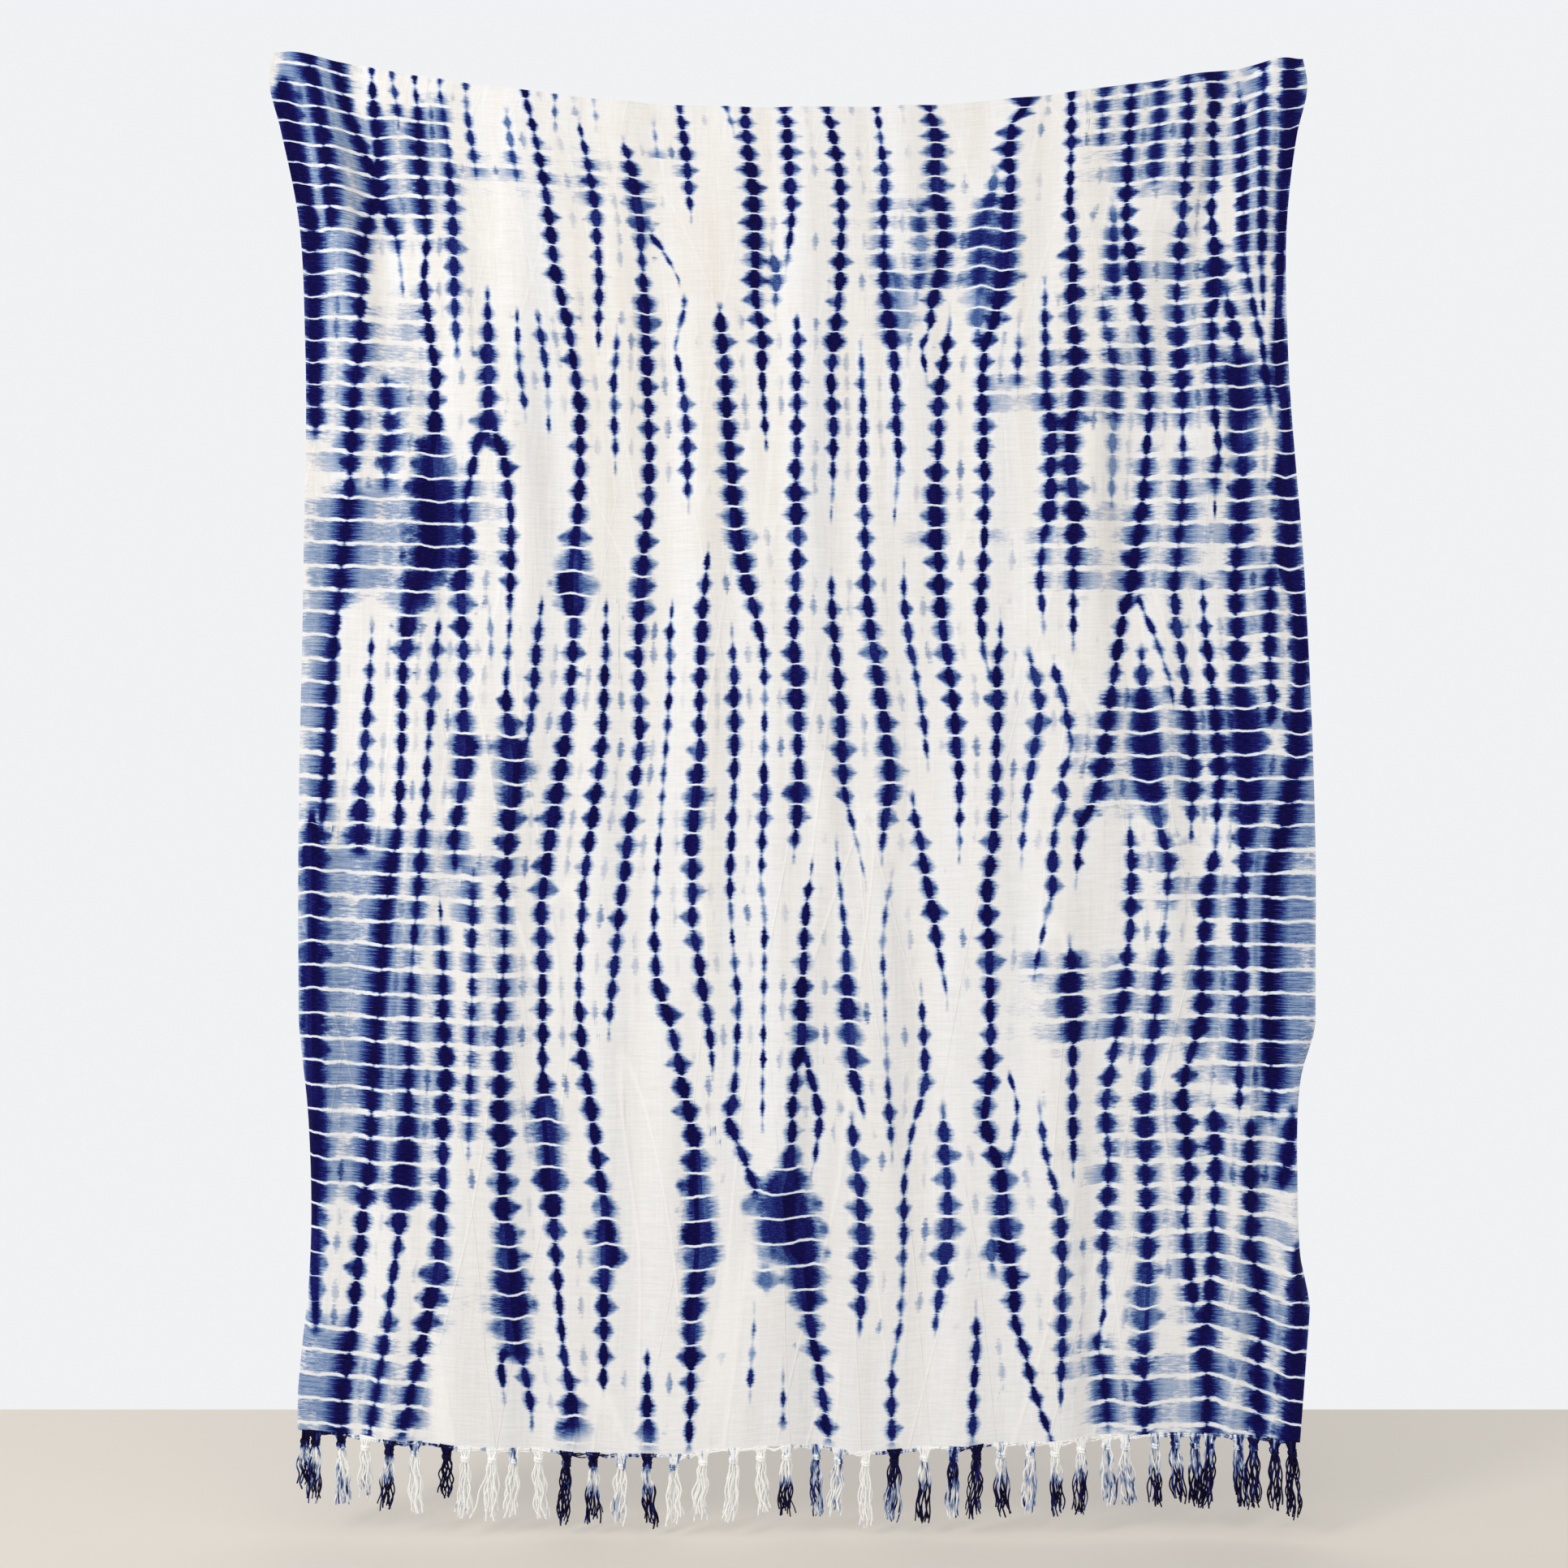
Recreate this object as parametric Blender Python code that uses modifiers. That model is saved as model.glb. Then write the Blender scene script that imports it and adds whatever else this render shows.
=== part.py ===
"""A shibori dyed cotton throw, hung by its top edge: a sheet of gauze and its knotted fringe.

The cloth hangs in the XZ plane, +Z up, with its face towards -Y. The origin is the lowest point
of the sagging top edge. Places on the cloth are given as a fraction across it, from the left
selvedge to the right one, and as a row, counted down from the top edge in steps of the
resist binding.
"""
import math
from collections import namedtuple

import bmesh
import bpy
import numpy as np

# Driving dimensions, in metres
ROWS = 60  # bound rows from the top edge to the hem
ROW_PITCH = 0.0306  # one row where the cloth hangs freely
ROW_PITCH_TOP = 0.0175  # one row under the middle of the slack top edge
ROW_EASE = 13.0  # rows over which the pitch grows from one to the other
SAG = 0.071  # height of the top corners over the middle of the top edge
SAG_MIDDLE = 0.515  # fraction across where the top edge is lowest
SAG_FADE = 10.0  # rows over which the slant of the top edge dies away
CORNER_DROP = 0.010  # how far a gripped corner is rounded off
CORNER_REACH = 0.020  # width of that rounding
THICKNESS = 0.002  # gauze, its loose yarns and their loft
MIDDLE_COLUMNS = 56  # mesh columns between the two selvedge strips
EDGE_COLUMNS = 7  # mesh columns in each selvedge strip, where the cloth curls
EDGE_SHARE = 0.03  # width of a selvedge strip, as a share of the cloth's
ROWS_OF_MESH = 20
GAP = 0.0003  # between the cloth and the fringe's own strip

# The two selvedges, each at its distance from the origin
Edge = namedtuple("Edge", "row left right")
EDGES = (
    Edge(row=0.0, left=-0.651, right=0.622),
    Edge(row=1.5, left=-0.657, right=0.638),
    Edge(row=4.0, left=-0.643, right=0.627),
    Edge(row=8.0, left=-0.622, right=0.615),
    Edge(row=14.0, left=-0.613, right=0.616),
    Edge(row=24.0, left=-0.615, right=0.637),
    Edge(row=36.0, left=-0.622, right=0.650),
    Edge(row=45.0, left=-0.621, right=0.648),
    Edge(row=52.0, left=-0.619, right=0.647),
    Edge(row=60.0, left=-0.622, right=0.628),
)

# Where a selvedge curls away from the face: how wide a strip turns, and how far, in radians
Curl = namedtuple("Curl", "side first_row last_row reach turn")
CURLS = (
    Curl(side="left", first_row=43.0, last_row=58.5, reach=0.022, turn=2.0),
    Curl(side="right", first_row=41.0, last_row=58.0, reach=0.034, turn=2.4),
)

# How far the hem lies above a level line
Hem = namedtuple("Hem", "across lift")
HEM = (
    Hem(across=0.00, lift=0.014),
    Hem(across=0.10, lift=0.004),
    Hem(across=0.25, lift=-0.012),
    Hem(across=0.33, lift=-0.017),
    Hem(across=0.50, lift=-0.004),
    Hem(across=0.56, lift=-0.013),
    Hem(across=0.66, lift=-0.004),
    Hem(across=0.80, lift=0.006),
    Hem(across=0.92, lift=0.009),
    Hem(across=1.00, lift=0.003),
)

# Soft ripples over the whole cloth: length from crest to crest, depth, and lean per row
Ripple = namedtuple("Ripple", "length depth phase lean")
RIPPLES = (
    Ripple(length=0.118, depth=0.0038, phase=0.4, lean=0.0009),
    Ripple(length=0.071, depth=0.0018, phase=2.1, lean=-0.0012),
    Ripple(length=0.370, depth=0.0060, phase=1.2, lean=0.0020),
)

# The main folds. A positive rise stands towards the face of the cloth.
Fold = namedtuple("Fold", "first_row last_row x_top x_bottom rise half_width")
FOLDS = (
    Fold(first_row=-4, last_row=20, x_top=-0.630, x_bottom=-0.500, rise=0.010, half_width=0.022),
    Fold(first_row=-4, last_row=26, x_top=-0.600, x_bottom=-0.390, rise=-0.008, half_width=0.026),
    Fold(first_row=-4, last_row=30, x_top=-0.560, x_bottom=-0.240, rise=0.007, half_width=0.030),
    Fold(first_row=-4, last_row=20, x_top=0.615, x_bottom=0.520, rise=0.010, half_width=0.022),
    Fold(first_row=-4, last_row=26, x_top=0.580, x_bottom=0.400, rise=-0.008, half_width=0.026),
    Fold(first_row=-4, last_row=30, x_top=0.540, x_bottom=0.270, rise=0.007, half_width=0.030),
    Fold(first_row=28, last_row=54, x_top=0.020, x_bottom=0.140, rise=0.007, half_width=0.020),
    Fold(first_row=30, last_row=52, x_top=0.075, x_bottom=0.225, rise=-0.006, half_width=0.018),
    Fold(first_row=31, last_row=64, x_top=0.050, x_bottom=-0.080, rise=0.006, half_width=0.022),
    Fold(first_row=36, last_row=66, x_top=0.300, x_bottom=0.330, rise=0.006, half_width=0.024),
    Fold(first_row=38, last_row=66, x_top=-0.120, x_bottom=-0.170, rise=-0.006, half_width=0.024),
    Fold(first_row=30, last_row=66, x_top=-0.400, x_bottom=-0.430, rise=0.008, half_width=0.030),
    Fold(first_row=40, last_row=68, x_top=0.640, x_bottom=0.600, rise=0.012, half_width=0.020),
    Fold(first_row=42, last_row=68, x_top=0.600, x_bottom=0.554, rise=-0.010, half_width=0.022),
    Fold(first_row=34, last_row=66, x_top=0.520, x_bottom=0.500, rise=0.007, half_width=0.022),
)

# The fringe: one bundle of locks at a time, knotted under the hem
BUNDLES = 41
LOCKS = 5  # locks in a bundle
STRIP_HEIGHT = 0.0045
LOCK_WIDTH = 0.0022
LOCK_DEPTH = 0.0026
BUNDLE_SHIFT = 0.0035  # the most that a bundle stands off its even place
FRINGE_LENGTH = 0.086
LENGTH_SPREAD = 0.014
FAN = 0.0255  # width of a bundle at its tips
SWAY = 0.004  # how far a bundle swings to one side at its tips
SEED = 7

# The rings down a bundle's head: how far below the strip, how wide and how deep
Ring = namedtuple("Ring", "below width depth")
HEAD = (
    Ring(below=0.008, width=0.0075, depth=0.0034),
    Ring(below=0.013, width=0.0100, depth=0.0062),
    Ring(below=0.018, width=0.0085, depth=0.0046),
)
LOCK_STEPS = (0.34, 0.68, 1.0)  # places along a lock where it bends
LOCK_TIP = 0.45  # a tip's thickness beside its root's


def remove_scene_objects():
    for obj in list(bpy.data.objects):
        bpy.data.objects.remove(obj, do_unlink=True)


def collection_of(name):
    collection = bpy.data.collections.new(name)
    bpy.context.scene.collection.children.link(collection)
    return collection


def material(name, colour, roughness):
    made = bpy.data.materials.new(name)
    made.use_nodes = True
    shader = made.node_tree.nodes["Principled BSDF"]
    shader.inputs["Base Color"].default_value = (*colour, 1.0)
    shader.inputs["Roughness"].default_value = roughness
    shader.inputs["Metallic"].default_value = 0.0
    made.diffuse_color = (*colour, 1.0)
    return made


def smooth_through(places, values, at):
    """A smooth curve through a few values, level at each bend of their direction."""
    slopes = np.gradient(values, places)
    k = int(np.clip(np.searchsorted(places, at) - 1, 0, len(places) - 2))
    span = places[k + 1] - places[k]
    t = min(max((at - places[k]) / span, 0.0), 1.0)
    rise = (2 * t**3 - 3 * t**2 + 1) * values[k] + (3 * t**2 - 2 * t**3) * values[k + 1]
    bend = (t**3 - 2 * t**2 + t) * slopes[k] + (t**3 - t**2) * slopes[k + 1]
    return rise + bend * span


EDGE_ROWS = np.array([edge.row for edge in EDGES])
LEFT_EDGE = np.array([edge.left for edge in EDGES])
RIGHT_EDGE = np.array([edge.right for edge in EDGES])
HEM_ACROSS = np.array([hem.across for hem in HEM])
HEM_LIFT = np.array([hem.lift for hem in HEM])


def row_drop(row):
    """Depth of a row under the middle of the top edge."""
    slack = (ROW_PITCH - ROW_PITCH_TOP) * ROW_EASE
    return ROW_PITCH * row - slack * (1 - math.exp(-row / ROW_EASE))


def fold_depth(x, row):
    """How far the cloth stands forward of its mean plane, from its ripples and folds."""
    loose = 0.45 + 0.55 * min(row / 18.0, 1.0)
    depth = 0.0
    for ripple in RIPPLES:
        turn = 2 * math.pi * (x + ripple.lean * row) / ripple.length + ripple.phase
        depth += ripple.depth * math.sin(turn) * loose
    for fold in FOLDS:
        along = (row - fold.first_row) / (fold.last_row - fold.first_row)
        if 0.0 < along < 1.0:
            crest = fold.x_top + (fold.x_bottom - fold.x_top) * along
            strength = math.sin(math.pi * along) ** 0.7
            depth += fold.rise * strength * math.exp(-(((x - crest) / fold.half_width) ** 2))
    return depth


def curled(x, left, right, row):
    """Where a point goes as its selvedge curls: its place across, and how far back it turns."""
    back = 0.0
    for curl in CURLS:
        along = (row - curl.first_row) / (curl.last_row - curl.first_row)
        if not 0.0 < along < 1.0:
            continue
        outward = -1.0 if curl.side == "left" else 1.0
        selvedge = left if curl.side == "left" else right
        past = curl.reach - (selvedge - x) * outward
        turn = curl.turn * math.sin(math.pi * along) ** 0.8
        if past > 0.0 and turn > 0.01:
            radius = curl.reach / turn
            x = selvedge - outward * (curl.reach - radius * math.sin(past / radius))
            back = radius * (1 - math.cos(past / radius))
    return x, back


def on_cloth(across, row):
    """The point of the cloth at a fraction across it and a row down it."""
    left = smooth_through(EDGE_ROWS, LEFT_EDGE, row)
    right = smooth_through(EDGE_ROWS, RIGHT_EDGE, row)
    flat_x = left + (right - left) * across
    x, back = curled(flat_x, left, right, row)
    slant = SAG * ((across - SAG_MIDDLE) / 0.5) ** 2 * math.exp(-row / SAG_FADE)
    from_corner = min(across, 1 - across) * (right - left)
    rounding = CORNER_DROP * math.exp(-((from_corner / CORNER_REACH) ** 2)) * math.exp(-row)
    lift = smooth_through(HEM_ACROSS, HEM_LIFT, across) * (row / ROWS) ** 2
    return x, back - fold_depth(flat_x, row), slant - rounding + lift - row_drop(row)


def across_of(column):
    """How far across the cloth a column of its mesh lies."""
    columns = 2 * EDGE_COLUMNS + MIDDLE_COLUMNS
    places = (0, EDGE_COLUMNS, columns - EDGE_COLUMNS, columns)
    return float(np.interp(column, places, (0.0, EDGE_SHARE, 1 - EDGE_SHARE, 1.0)))


def add_cloth(collection):
    columns = 2 * EDGE_COLUMNS + MIDDLE_COLUMNS
    bpy.ops.mesh.primitive_grid_add(
        x_subdivisions=columns, y_subdivisions=ROWS_OF_MESH, size=1.0
    )
    cloth = bpy.context.object
    cloth.name = cloth.data.name = "cloth"
    for vertex in cloth.data.vertices:
        column = (vertex.co.x + 0.5) * columns
        row = (0.5 - vertex.co.y) * ROWS
        vertex.co = on_cloth(across_of(column), row)
    cloth.data.shade_smooth()
    wall = cloth.modifiers.new("Thickness", "SOLIDIFY")
    wall.thickness = THICKNESS
    wall.offset = 0.0
    wall.use_even_offset = True
    cloth.data.materials.append(material("indigo dyed cotton gauze", (0.72, 0.73, 0.78), 0.9))
    move_to(cloth, collection)
    return cloth


def move_to(obj, collection):
    for other in list(obj.users_collection):
        other.objects.unlink(obj)
    collection.objects.link(obj)


def hem_line():
    """The cloth's lower edge as its mesh has it."""
    columns = 2 * EDGE_COLUMNS + MIDDLE_COLUMNS
    return np.array([on_cloth(across_of(column), ROWS) for column in range(columns + 1)])


def bundle_middles(left, right, rng):
    """Where the bundles hang, near their even places."""
    pitch = (right - left) / BUNDLES
    middles = []
    for k in range(BUNDLES):
        middles.append(left + pitch * (k + 0.5) + rng.uniform(-BUNDLE_SHIFT, BUNDLE_SHIFT))
    return middles


def strip_cuts(left, right, middles):
    """The places across the strip where a lock begins or ends."""
    cuts = [left]
    for middle in middles:
        first = middle - LOCKS * LOCK_WIDTH / 2
        cuts.extend(first + LOCK_WIDTH * k for k in range(LOCKS + 1))
    cuts.append(right)
    return cuts


def face_middle(face):
    return face.calc_center_median()


def add_strip(mesh, cuts, hem):
    """The narrow strip under the hem, as a closed box with a cell for each lock."""
    bmesh.ops.create_grid(mesh, x_segments=len(cuts) - 1, y_segments=1, size=0.5)
    for vertex in mesh.verts:
        cell = round((vertex.co.x + 0.5) * (len(cuts) - 1))
        x = cuts[cell]
        side = math.copysign(THICKNESS / 2, vertex.co.y)
        y = np.interp(x, hem[:, 0], hem[:, 1])
        z = np.interp(x, hem[:, 0], hem[:, 2])
        vertex.co = (x, y + side, z - GAP)
    top = list(mesh.faces)
    grown = bmesh.ops.extrude_face_region(mesh, geom=top, use_keep_orig=True)["geom"]
    bottom = [part for part in grown if isinstance(part, bmesh.types.BMFace)]
    lowered = {vertex for face in bottom for vertex in face.verts}
    bmesh.ops.translate(mesh, verts=list(lowered), vec=(0, 0, -STRIP_HEIGHT))
    bmesh.ops.recalc_face_normals(mesh, faces=mesh.faces)
    return bottom


def grow_head(mesh, faces, middle):
    """A bundle's head: the locks side by side, drawn in and then knotted."""
    centre = np.mean([face_middle(face) for face in faces], axis=0)
    wide = LOCKS * LOCK_WIDTH
    deep = THICKNESS
    below = 0.0
    for ring in HEAD:
        grown = bmesh.ops.extrude_face_region(mesh, geom=faces)["geom"]
        bmesh.ops.delete(mesh, geom=faces, context="FACES")
        faces = [part for part in grown if isinstance(part, bmesh.types.BMFace)]
        for vertex in {vertex for face in faces for vertex in face.verts}:
            vertex.co.x = middle + (vertex.co.x - middle) * ring.width / wide
            vertex.co.y = centre[1] + (vertex.co.y - centre[1]) * ring.depth / deep
            vertex.co.z -= ring.below - below
        wide = ring.width
        deep = ring.depth
        below = ring.below
    return sorted(faces, key=lambda face: face_middle(face).x)


def grow_locks(mesh, faces, middle, rng):
    """The locks under a head, fanned out so that none crosses the next."""
    sway = rng.uniform(-SWAY, SWAY)
    length = FRINGE_LENGTH + rng.uniform(-1, 1) * LENGTH_SPREAD / 2 - HEAD[-1].below
    wave = rng.uniform(0, 2 * math.pi)
    for k, face in enumerate(faces):
        place = (k + 0.5) / LOCKS - 0.5
        lock_length = length * (1 - rng.uniform(0, 0.14))
        lean_back = rng.uniform(-1, 1) * LOCK_DEPTH * 1.2
        root = face_middle(face)
        tip_x = middle + FAN * place + sway
        for step in LOCK_STEPS:
            new = bmesh.ops.extrude_discrete_faces(mesh, faces=[face])["faces"]
            face = new[0]
            spread = step**0.8
            bend = SWAY * 0.25 * math.sin(wave + 4.0 * step)
            target_x = root.x + (tip_x - root.x) * spread + bend
            target_y = root.y + lean_back * step
            shrink = (1 + (LOCK_TIP - 1) * step) * LOCK_WIDTH / face_size(face, 0)
            middle_now = face_middle(face)
            squeeze = lock_squeeze(face, step)
            for vertex in face.verts:
                vertex.co.x = target_x + (vertex.co.x - middle_now.x) * shrink
                vertex.co.y = target_y + (vertex.co.y - middle_now.y) * squeeze
                vertex.co.z = root.z - lock_length * step


def face_size(face, axis):
    places = [vertex.co[axis] for vertex in face.verts]
    return max(places) - min(places)


def lock_squeeze(face, step):
    """How much a lock narrows from front to back at this step, from its present depth."""
    return LOCK_DEPTH * (1 + (LOCK_TIP - 1) * step) / face_size(face, 1)


def add_fringe(collection):
    rng = np.random.default_rng(SEED)
    hem = hem_line()
    left = hem[0, 0] + 0.002
    right = hem[-1, 0] - 0.002
    middles = bundle_middles(left, right, rng)
    cuts = strip_cuts(left, right, middles)
    mesh = bmesh.new()
    bottom = sorted(add_strip(mesh, cuts, hem), key=lambda face: face_middle(face).x)
    for k, middle in enumerate(middles):
        first = 1 + k * (LOCKS + 1)
        head = grow_head(mesh, bottom[first : first + LOCKS], middle)
        grow_locks(mesh, head, middle, rng)
    data = bpy.data.meshes.new("fringe")
    mesh.to_mesh(data)
    mesh.free()
    fringe = bpy.data.objects.new("fringe", data)
    data.materials.append(material("knotted cotton warp ends", (0.80, 0.80, 0.82), 0.9))
    collection.objects.link(fringe)
    return fringe


def main():
    remove_scene_objects()
    throw = collection_of("shibori throw")
    add_cloth(throw)
    add_fringe(throw)


main()
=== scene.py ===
# %% [markdown]
# # A bound and dyed cotton throw, hung by its top edge
#
# The real thing is one piece of thin cotton gauze. It was pleated, bound tightly at even steps, and dipped in
# indigo. Where the binding pressed, the yarn stayed white: those are the fine lines across the cloth. Where
# dye crept in along the pleats, it left chains of dark beads. Below the hem the warp ends are knotted in
# bundles.
#
# The steps are: load the frame, set up light and camera, hang the cloth, chart its pleats, mix the dye, and
# tie the fringe. Sizes are in metres unless a name says mm. The face of the cloth is towards -Y.

# %% Load the frame
import math
from collections import namedtuple

import bpy
import numpy as np
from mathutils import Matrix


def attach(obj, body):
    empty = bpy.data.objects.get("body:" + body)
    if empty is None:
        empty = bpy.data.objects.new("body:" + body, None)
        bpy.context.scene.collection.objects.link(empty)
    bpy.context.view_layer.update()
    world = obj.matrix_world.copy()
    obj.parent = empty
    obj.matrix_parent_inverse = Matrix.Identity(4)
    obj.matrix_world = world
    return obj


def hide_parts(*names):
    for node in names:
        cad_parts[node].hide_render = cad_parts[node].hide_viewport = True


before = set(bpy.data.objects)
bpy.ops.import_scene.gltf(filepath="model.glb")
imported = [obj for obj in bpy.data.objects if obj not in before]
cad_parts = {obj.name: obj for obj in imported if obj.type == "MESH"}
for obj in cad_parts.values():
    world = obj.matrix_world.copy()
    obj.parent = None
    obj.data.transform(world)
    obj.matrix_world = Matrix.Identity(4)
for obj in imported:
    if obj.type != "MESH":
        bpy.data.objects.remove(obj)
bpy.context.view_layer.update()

print("nodes in the frame:", sorted(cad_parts))

# %% [markdown]
# ## Small helpers
#
# Colours are written as they look on a screen, in hex, and one function turns them into the linear values
# that a shader wants. Another adds a node, sets it and wires it, so that each finish below reads as a short
# recipe.

# %% Colour and node helpers


def linear(hex_colour):
    """A screen colour such as 'efebe2' as linear red, green, blue and alpha."""
    values = []
    for k in (0, 2, 4):
        c = int(hex_colour[k : k + 2], 16) / 255
        values.append(c / 12.92 if c <= 0.04045 else ((c + 0.055) / 1.055) ** 2.4)
    return (*values, 1.0)


def add_node(tree, kind, inputs=None, out=0, **settings):
    """Adds one shader node, sets it, fills or links its sockets, and gives back one of its outputs."""
    made = tree.nodes.new("ShaderNode" + kind)
    for name, value in settings.items():
        setattr(made, name, value)
    for socket, value in (inputs or {}).items():
        if isinstance(value, bpy.types.NodeSocket):
            tree.links.new(value, made.inputs[socket])
        else:
            made.inputs[socket].default_value = value
    return made.outputs[out] if len(made.outputs) else made


def deselect_all():
    for obj in bpy.context.selected_objects:
        obj.select_set(False)


print("cream in linear values:", [round(c, 3) for c in linear("efebe2")])

# %% [markdown]
# ## Light, floor and camera
#
# A throw like this is shown against a bright wall in flat, soft light. A pale world gives most of the light
# from all sides. One wide lamp from the upper left rakes over the cloth, so that its shallow folds still
# read. The colours are judged on a plain screen transform, so that white cotton stays white.

# %% World and lamp
scene = bpy.context.scene
scene.view_settings.view_transform = "Standard"

WALL_WHITE = "f6f7f9"
WORLD_STRENGTH = 0.95
world = bpy.data.worlds.new("pale studio")
scene.world = world
world.use_nodes = True
world.node_tree.nodes["Background"].inputs["Color"].default_value = linear(WALL_WHITE)
world.node_tree.nodes["Background"].inputs["Strength"].default_value = WORLD_STRENGTH

Lamp = namedtuple("Lamp", "name place size watts")
LAMPS = (
    Lamp(name="key, upper left", place=(-2.6, -2.2, 0.7), size=1.0, watts=40.0),
    Lamp(name="fill, right", place=(2.4, -3.0, -0.6), size=2.2, watts=4.0),
)
CLOTH_MIDDLE = (0.0, 0.0, -0.86)


def aim(obj, target):
    """Turns a lamp or camera so that it looks at a point."""
    away = np.array(target) - np.array(obj.location)
    flat = math.hypot(away[0], away[1])
    obj.rotation_euler = (math.atan2(flat, -away[2]), 0.0, math.atan2(-away[0], away[1]))


for lamp in LAMPS:
    deselect_all()
    bpy.ops.object.light_add(type="AREA", location=lamp.place)
    light = bpy.context.object
    light.name = lamp.name
    light.data.size = lamp.size
    light.data.energy = lamp.watts
    aim(light, CLOTH_MIDDLE)
print("lamps:", [lamp.name for lamp in LAMPS])

# %% Floor
FLOOR_HEIGHT = -1.787
FLOOR_WIDTH = 4.2
FLOOR_DEPTH = 2.9
FLOOR_BEHIND = 0.47
deselect_all()
bpy.ops.mesh.primitive_plane_add(size=1.0, location=(0.0, FLOOR_BEHIND - FLOOR_DEPTH / 2, FLOOR_HEIGHT))
floor = bpy.context.object
floor.name = "studio_floor"
floor.scale = (FLOOR_WIDTH, FLOOR_DEPTH, 1.0)
bpy.ops.object.transform_apply(location=True, rotation=True, scale=True)
floor_paint = bpy.data.materials.new("matt pale floor paint")
floor_paint.use_nodes = True
floor_tree = floor_paint.node_tree
floor_shader = floor_tree.nodes["Principled BSDF"]
floor_place = add_node(floor_tree, "TexCoord", out="Object")
floor_mottle = add_node(floor_tree, "TexNoise", {"Vector": floor_place, "Scale": 1.0, "Detail": 3.0})
mottles = {0: floor_mottle, 6: linear("d8d0c4"), 7: linear("dfd8cd")}
floor_colour = add_node(floor_tree, "Mix", mottles, out=2, data_type="RGBA")
floor_tree.links.new(floor_colour, floor_shader.inputs["Base Color"])
floor_shader.inputs["Roughness"].default_value = 0.8
floor.data.materials.append(floor_paint)
print("floor at", FLOOR_HEIGHT)

# %% Camera
CAMERA_PLACE = (-0.014, -2.285, -0.845)
CAMERA_LENS = 42.0
deselect_all()
bpy.ops.object.camera_add(location=CAMERA_PLACE, rotation=(math.pi / 2, 0.0, 0.0))
camera = bpy.context.object
camera.data.lens = CAMERA_LENS
camera.data.sensor_width = 36.0
scene.camera = camera
print("camera at", CAMERA_PLACE)

# %% [markdown]
# ## The way the cloth hangs
#
# It could be simulated, but a sheet held at two corners settles in a known way: the top edge sags in a
# shallow curve, the weft rows under it follow that curve and straighten out by about the tenth row, and the
# selvedges draw in at the waist. So each point is placed by rule from two numbers: how far across it lies,
# and its row. A row is the step between two bindings. The solid model is placed by the same rule. The upper
# corners and the right curl were set anew here after a closer look, so in those places the two differ by a
# centimetre or two.

# %% Rows and edges
ROWS = 60
ROW_PITCH = 0.0306
ROW_PITCH_TOP = 0.0175
ROW_EASE = 13.0
SAG = 0.071
SAG_MIDDLE = 0.515
SAG_FADE = 10.0
CORNER_DROP = 0.006
CORNER_REACH = 0.016

Edge = namedtuple("Edge", "row left right")
EDGES = (
    Edge(row=0.0, left=-0.651, right=0.634),
    Edge(row=1.5, left=-0.657, right=0.640),
    Edge(row=4.0, left=-0.643, right=0.627),
    Edge(row=8.0, left=-0.622, right=0.615),
    Edge(row=14.0, left=-0.613, right=0.616),
    Edge(row=24.0, left=-0.615, right=0.637),
    Edge(row=36.0, left=-0.622, right=0.650),
    Edge(row=45.0, left=-0.621, right=0.648),
    Edge(row=52.0, left=-0.619, right=0.647),
    Edge(row=56.0, left=-0.622, right=0.637),
    Edge(row=60.0, left=-0.622, right=0.628),
)
Hem = namedtuple("Hem", "across lift")
HEM = (
    Hem(across=0.00, lift=0.014),
    Hem(across=0.10, lift=0.004),
    Hem(across=0.25, lift=-0.012),
    Hem(across=0.33, lift=-0.017),
    Hem(across=0.50, lift=-0.004),
    Hem(across=0.56, lift=-0.013),
    Hem(across=0.66, lift=-0.004),
    Hem(across=0.80, lift=0.006),
    Hem(across=0.92, lift=0.009),
    Hem(across=1.00, lift=0.003),
)


def smooth_through(places, values, at):
    """A smooth curve through a few values, read at many places."""
    places = np.asarray(places, float)
    values = np.asarray(values, float)
    slopes = np.gradient(values, places)
    k = np.clip(np.searchsorted(places, at) - 1, 0, len(places) - 2)
    span = places[k + 1] - places[k]
    t = np.clip((at - places[k]) / span, 0.0, 1.0)
    rise = (2 * t**3 - 3 * t**2 + 1) * values[k] + (3 * t**2 - 2 * t**3) * values[k + 1]
    bend = (t**3 - 2 * t**2 + t) * slopes[k] + (t**3 - t**2) * slopes[k + 1]
    return rise + bend * span


def row_drop(row):
    """Depth of a row under the middle of the top edge. The top rows stand closer together."""
    slack = (ROW_PITCH - ROW_PITCH_TOP) * ROW_EASE
    return ROW_PITCH * row - slack * (1 - np.exp(-row / ROW_EASE))


print("hem hangs", round(float(row_drop(ROWS)), 3), "m under the top edge")

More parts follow.
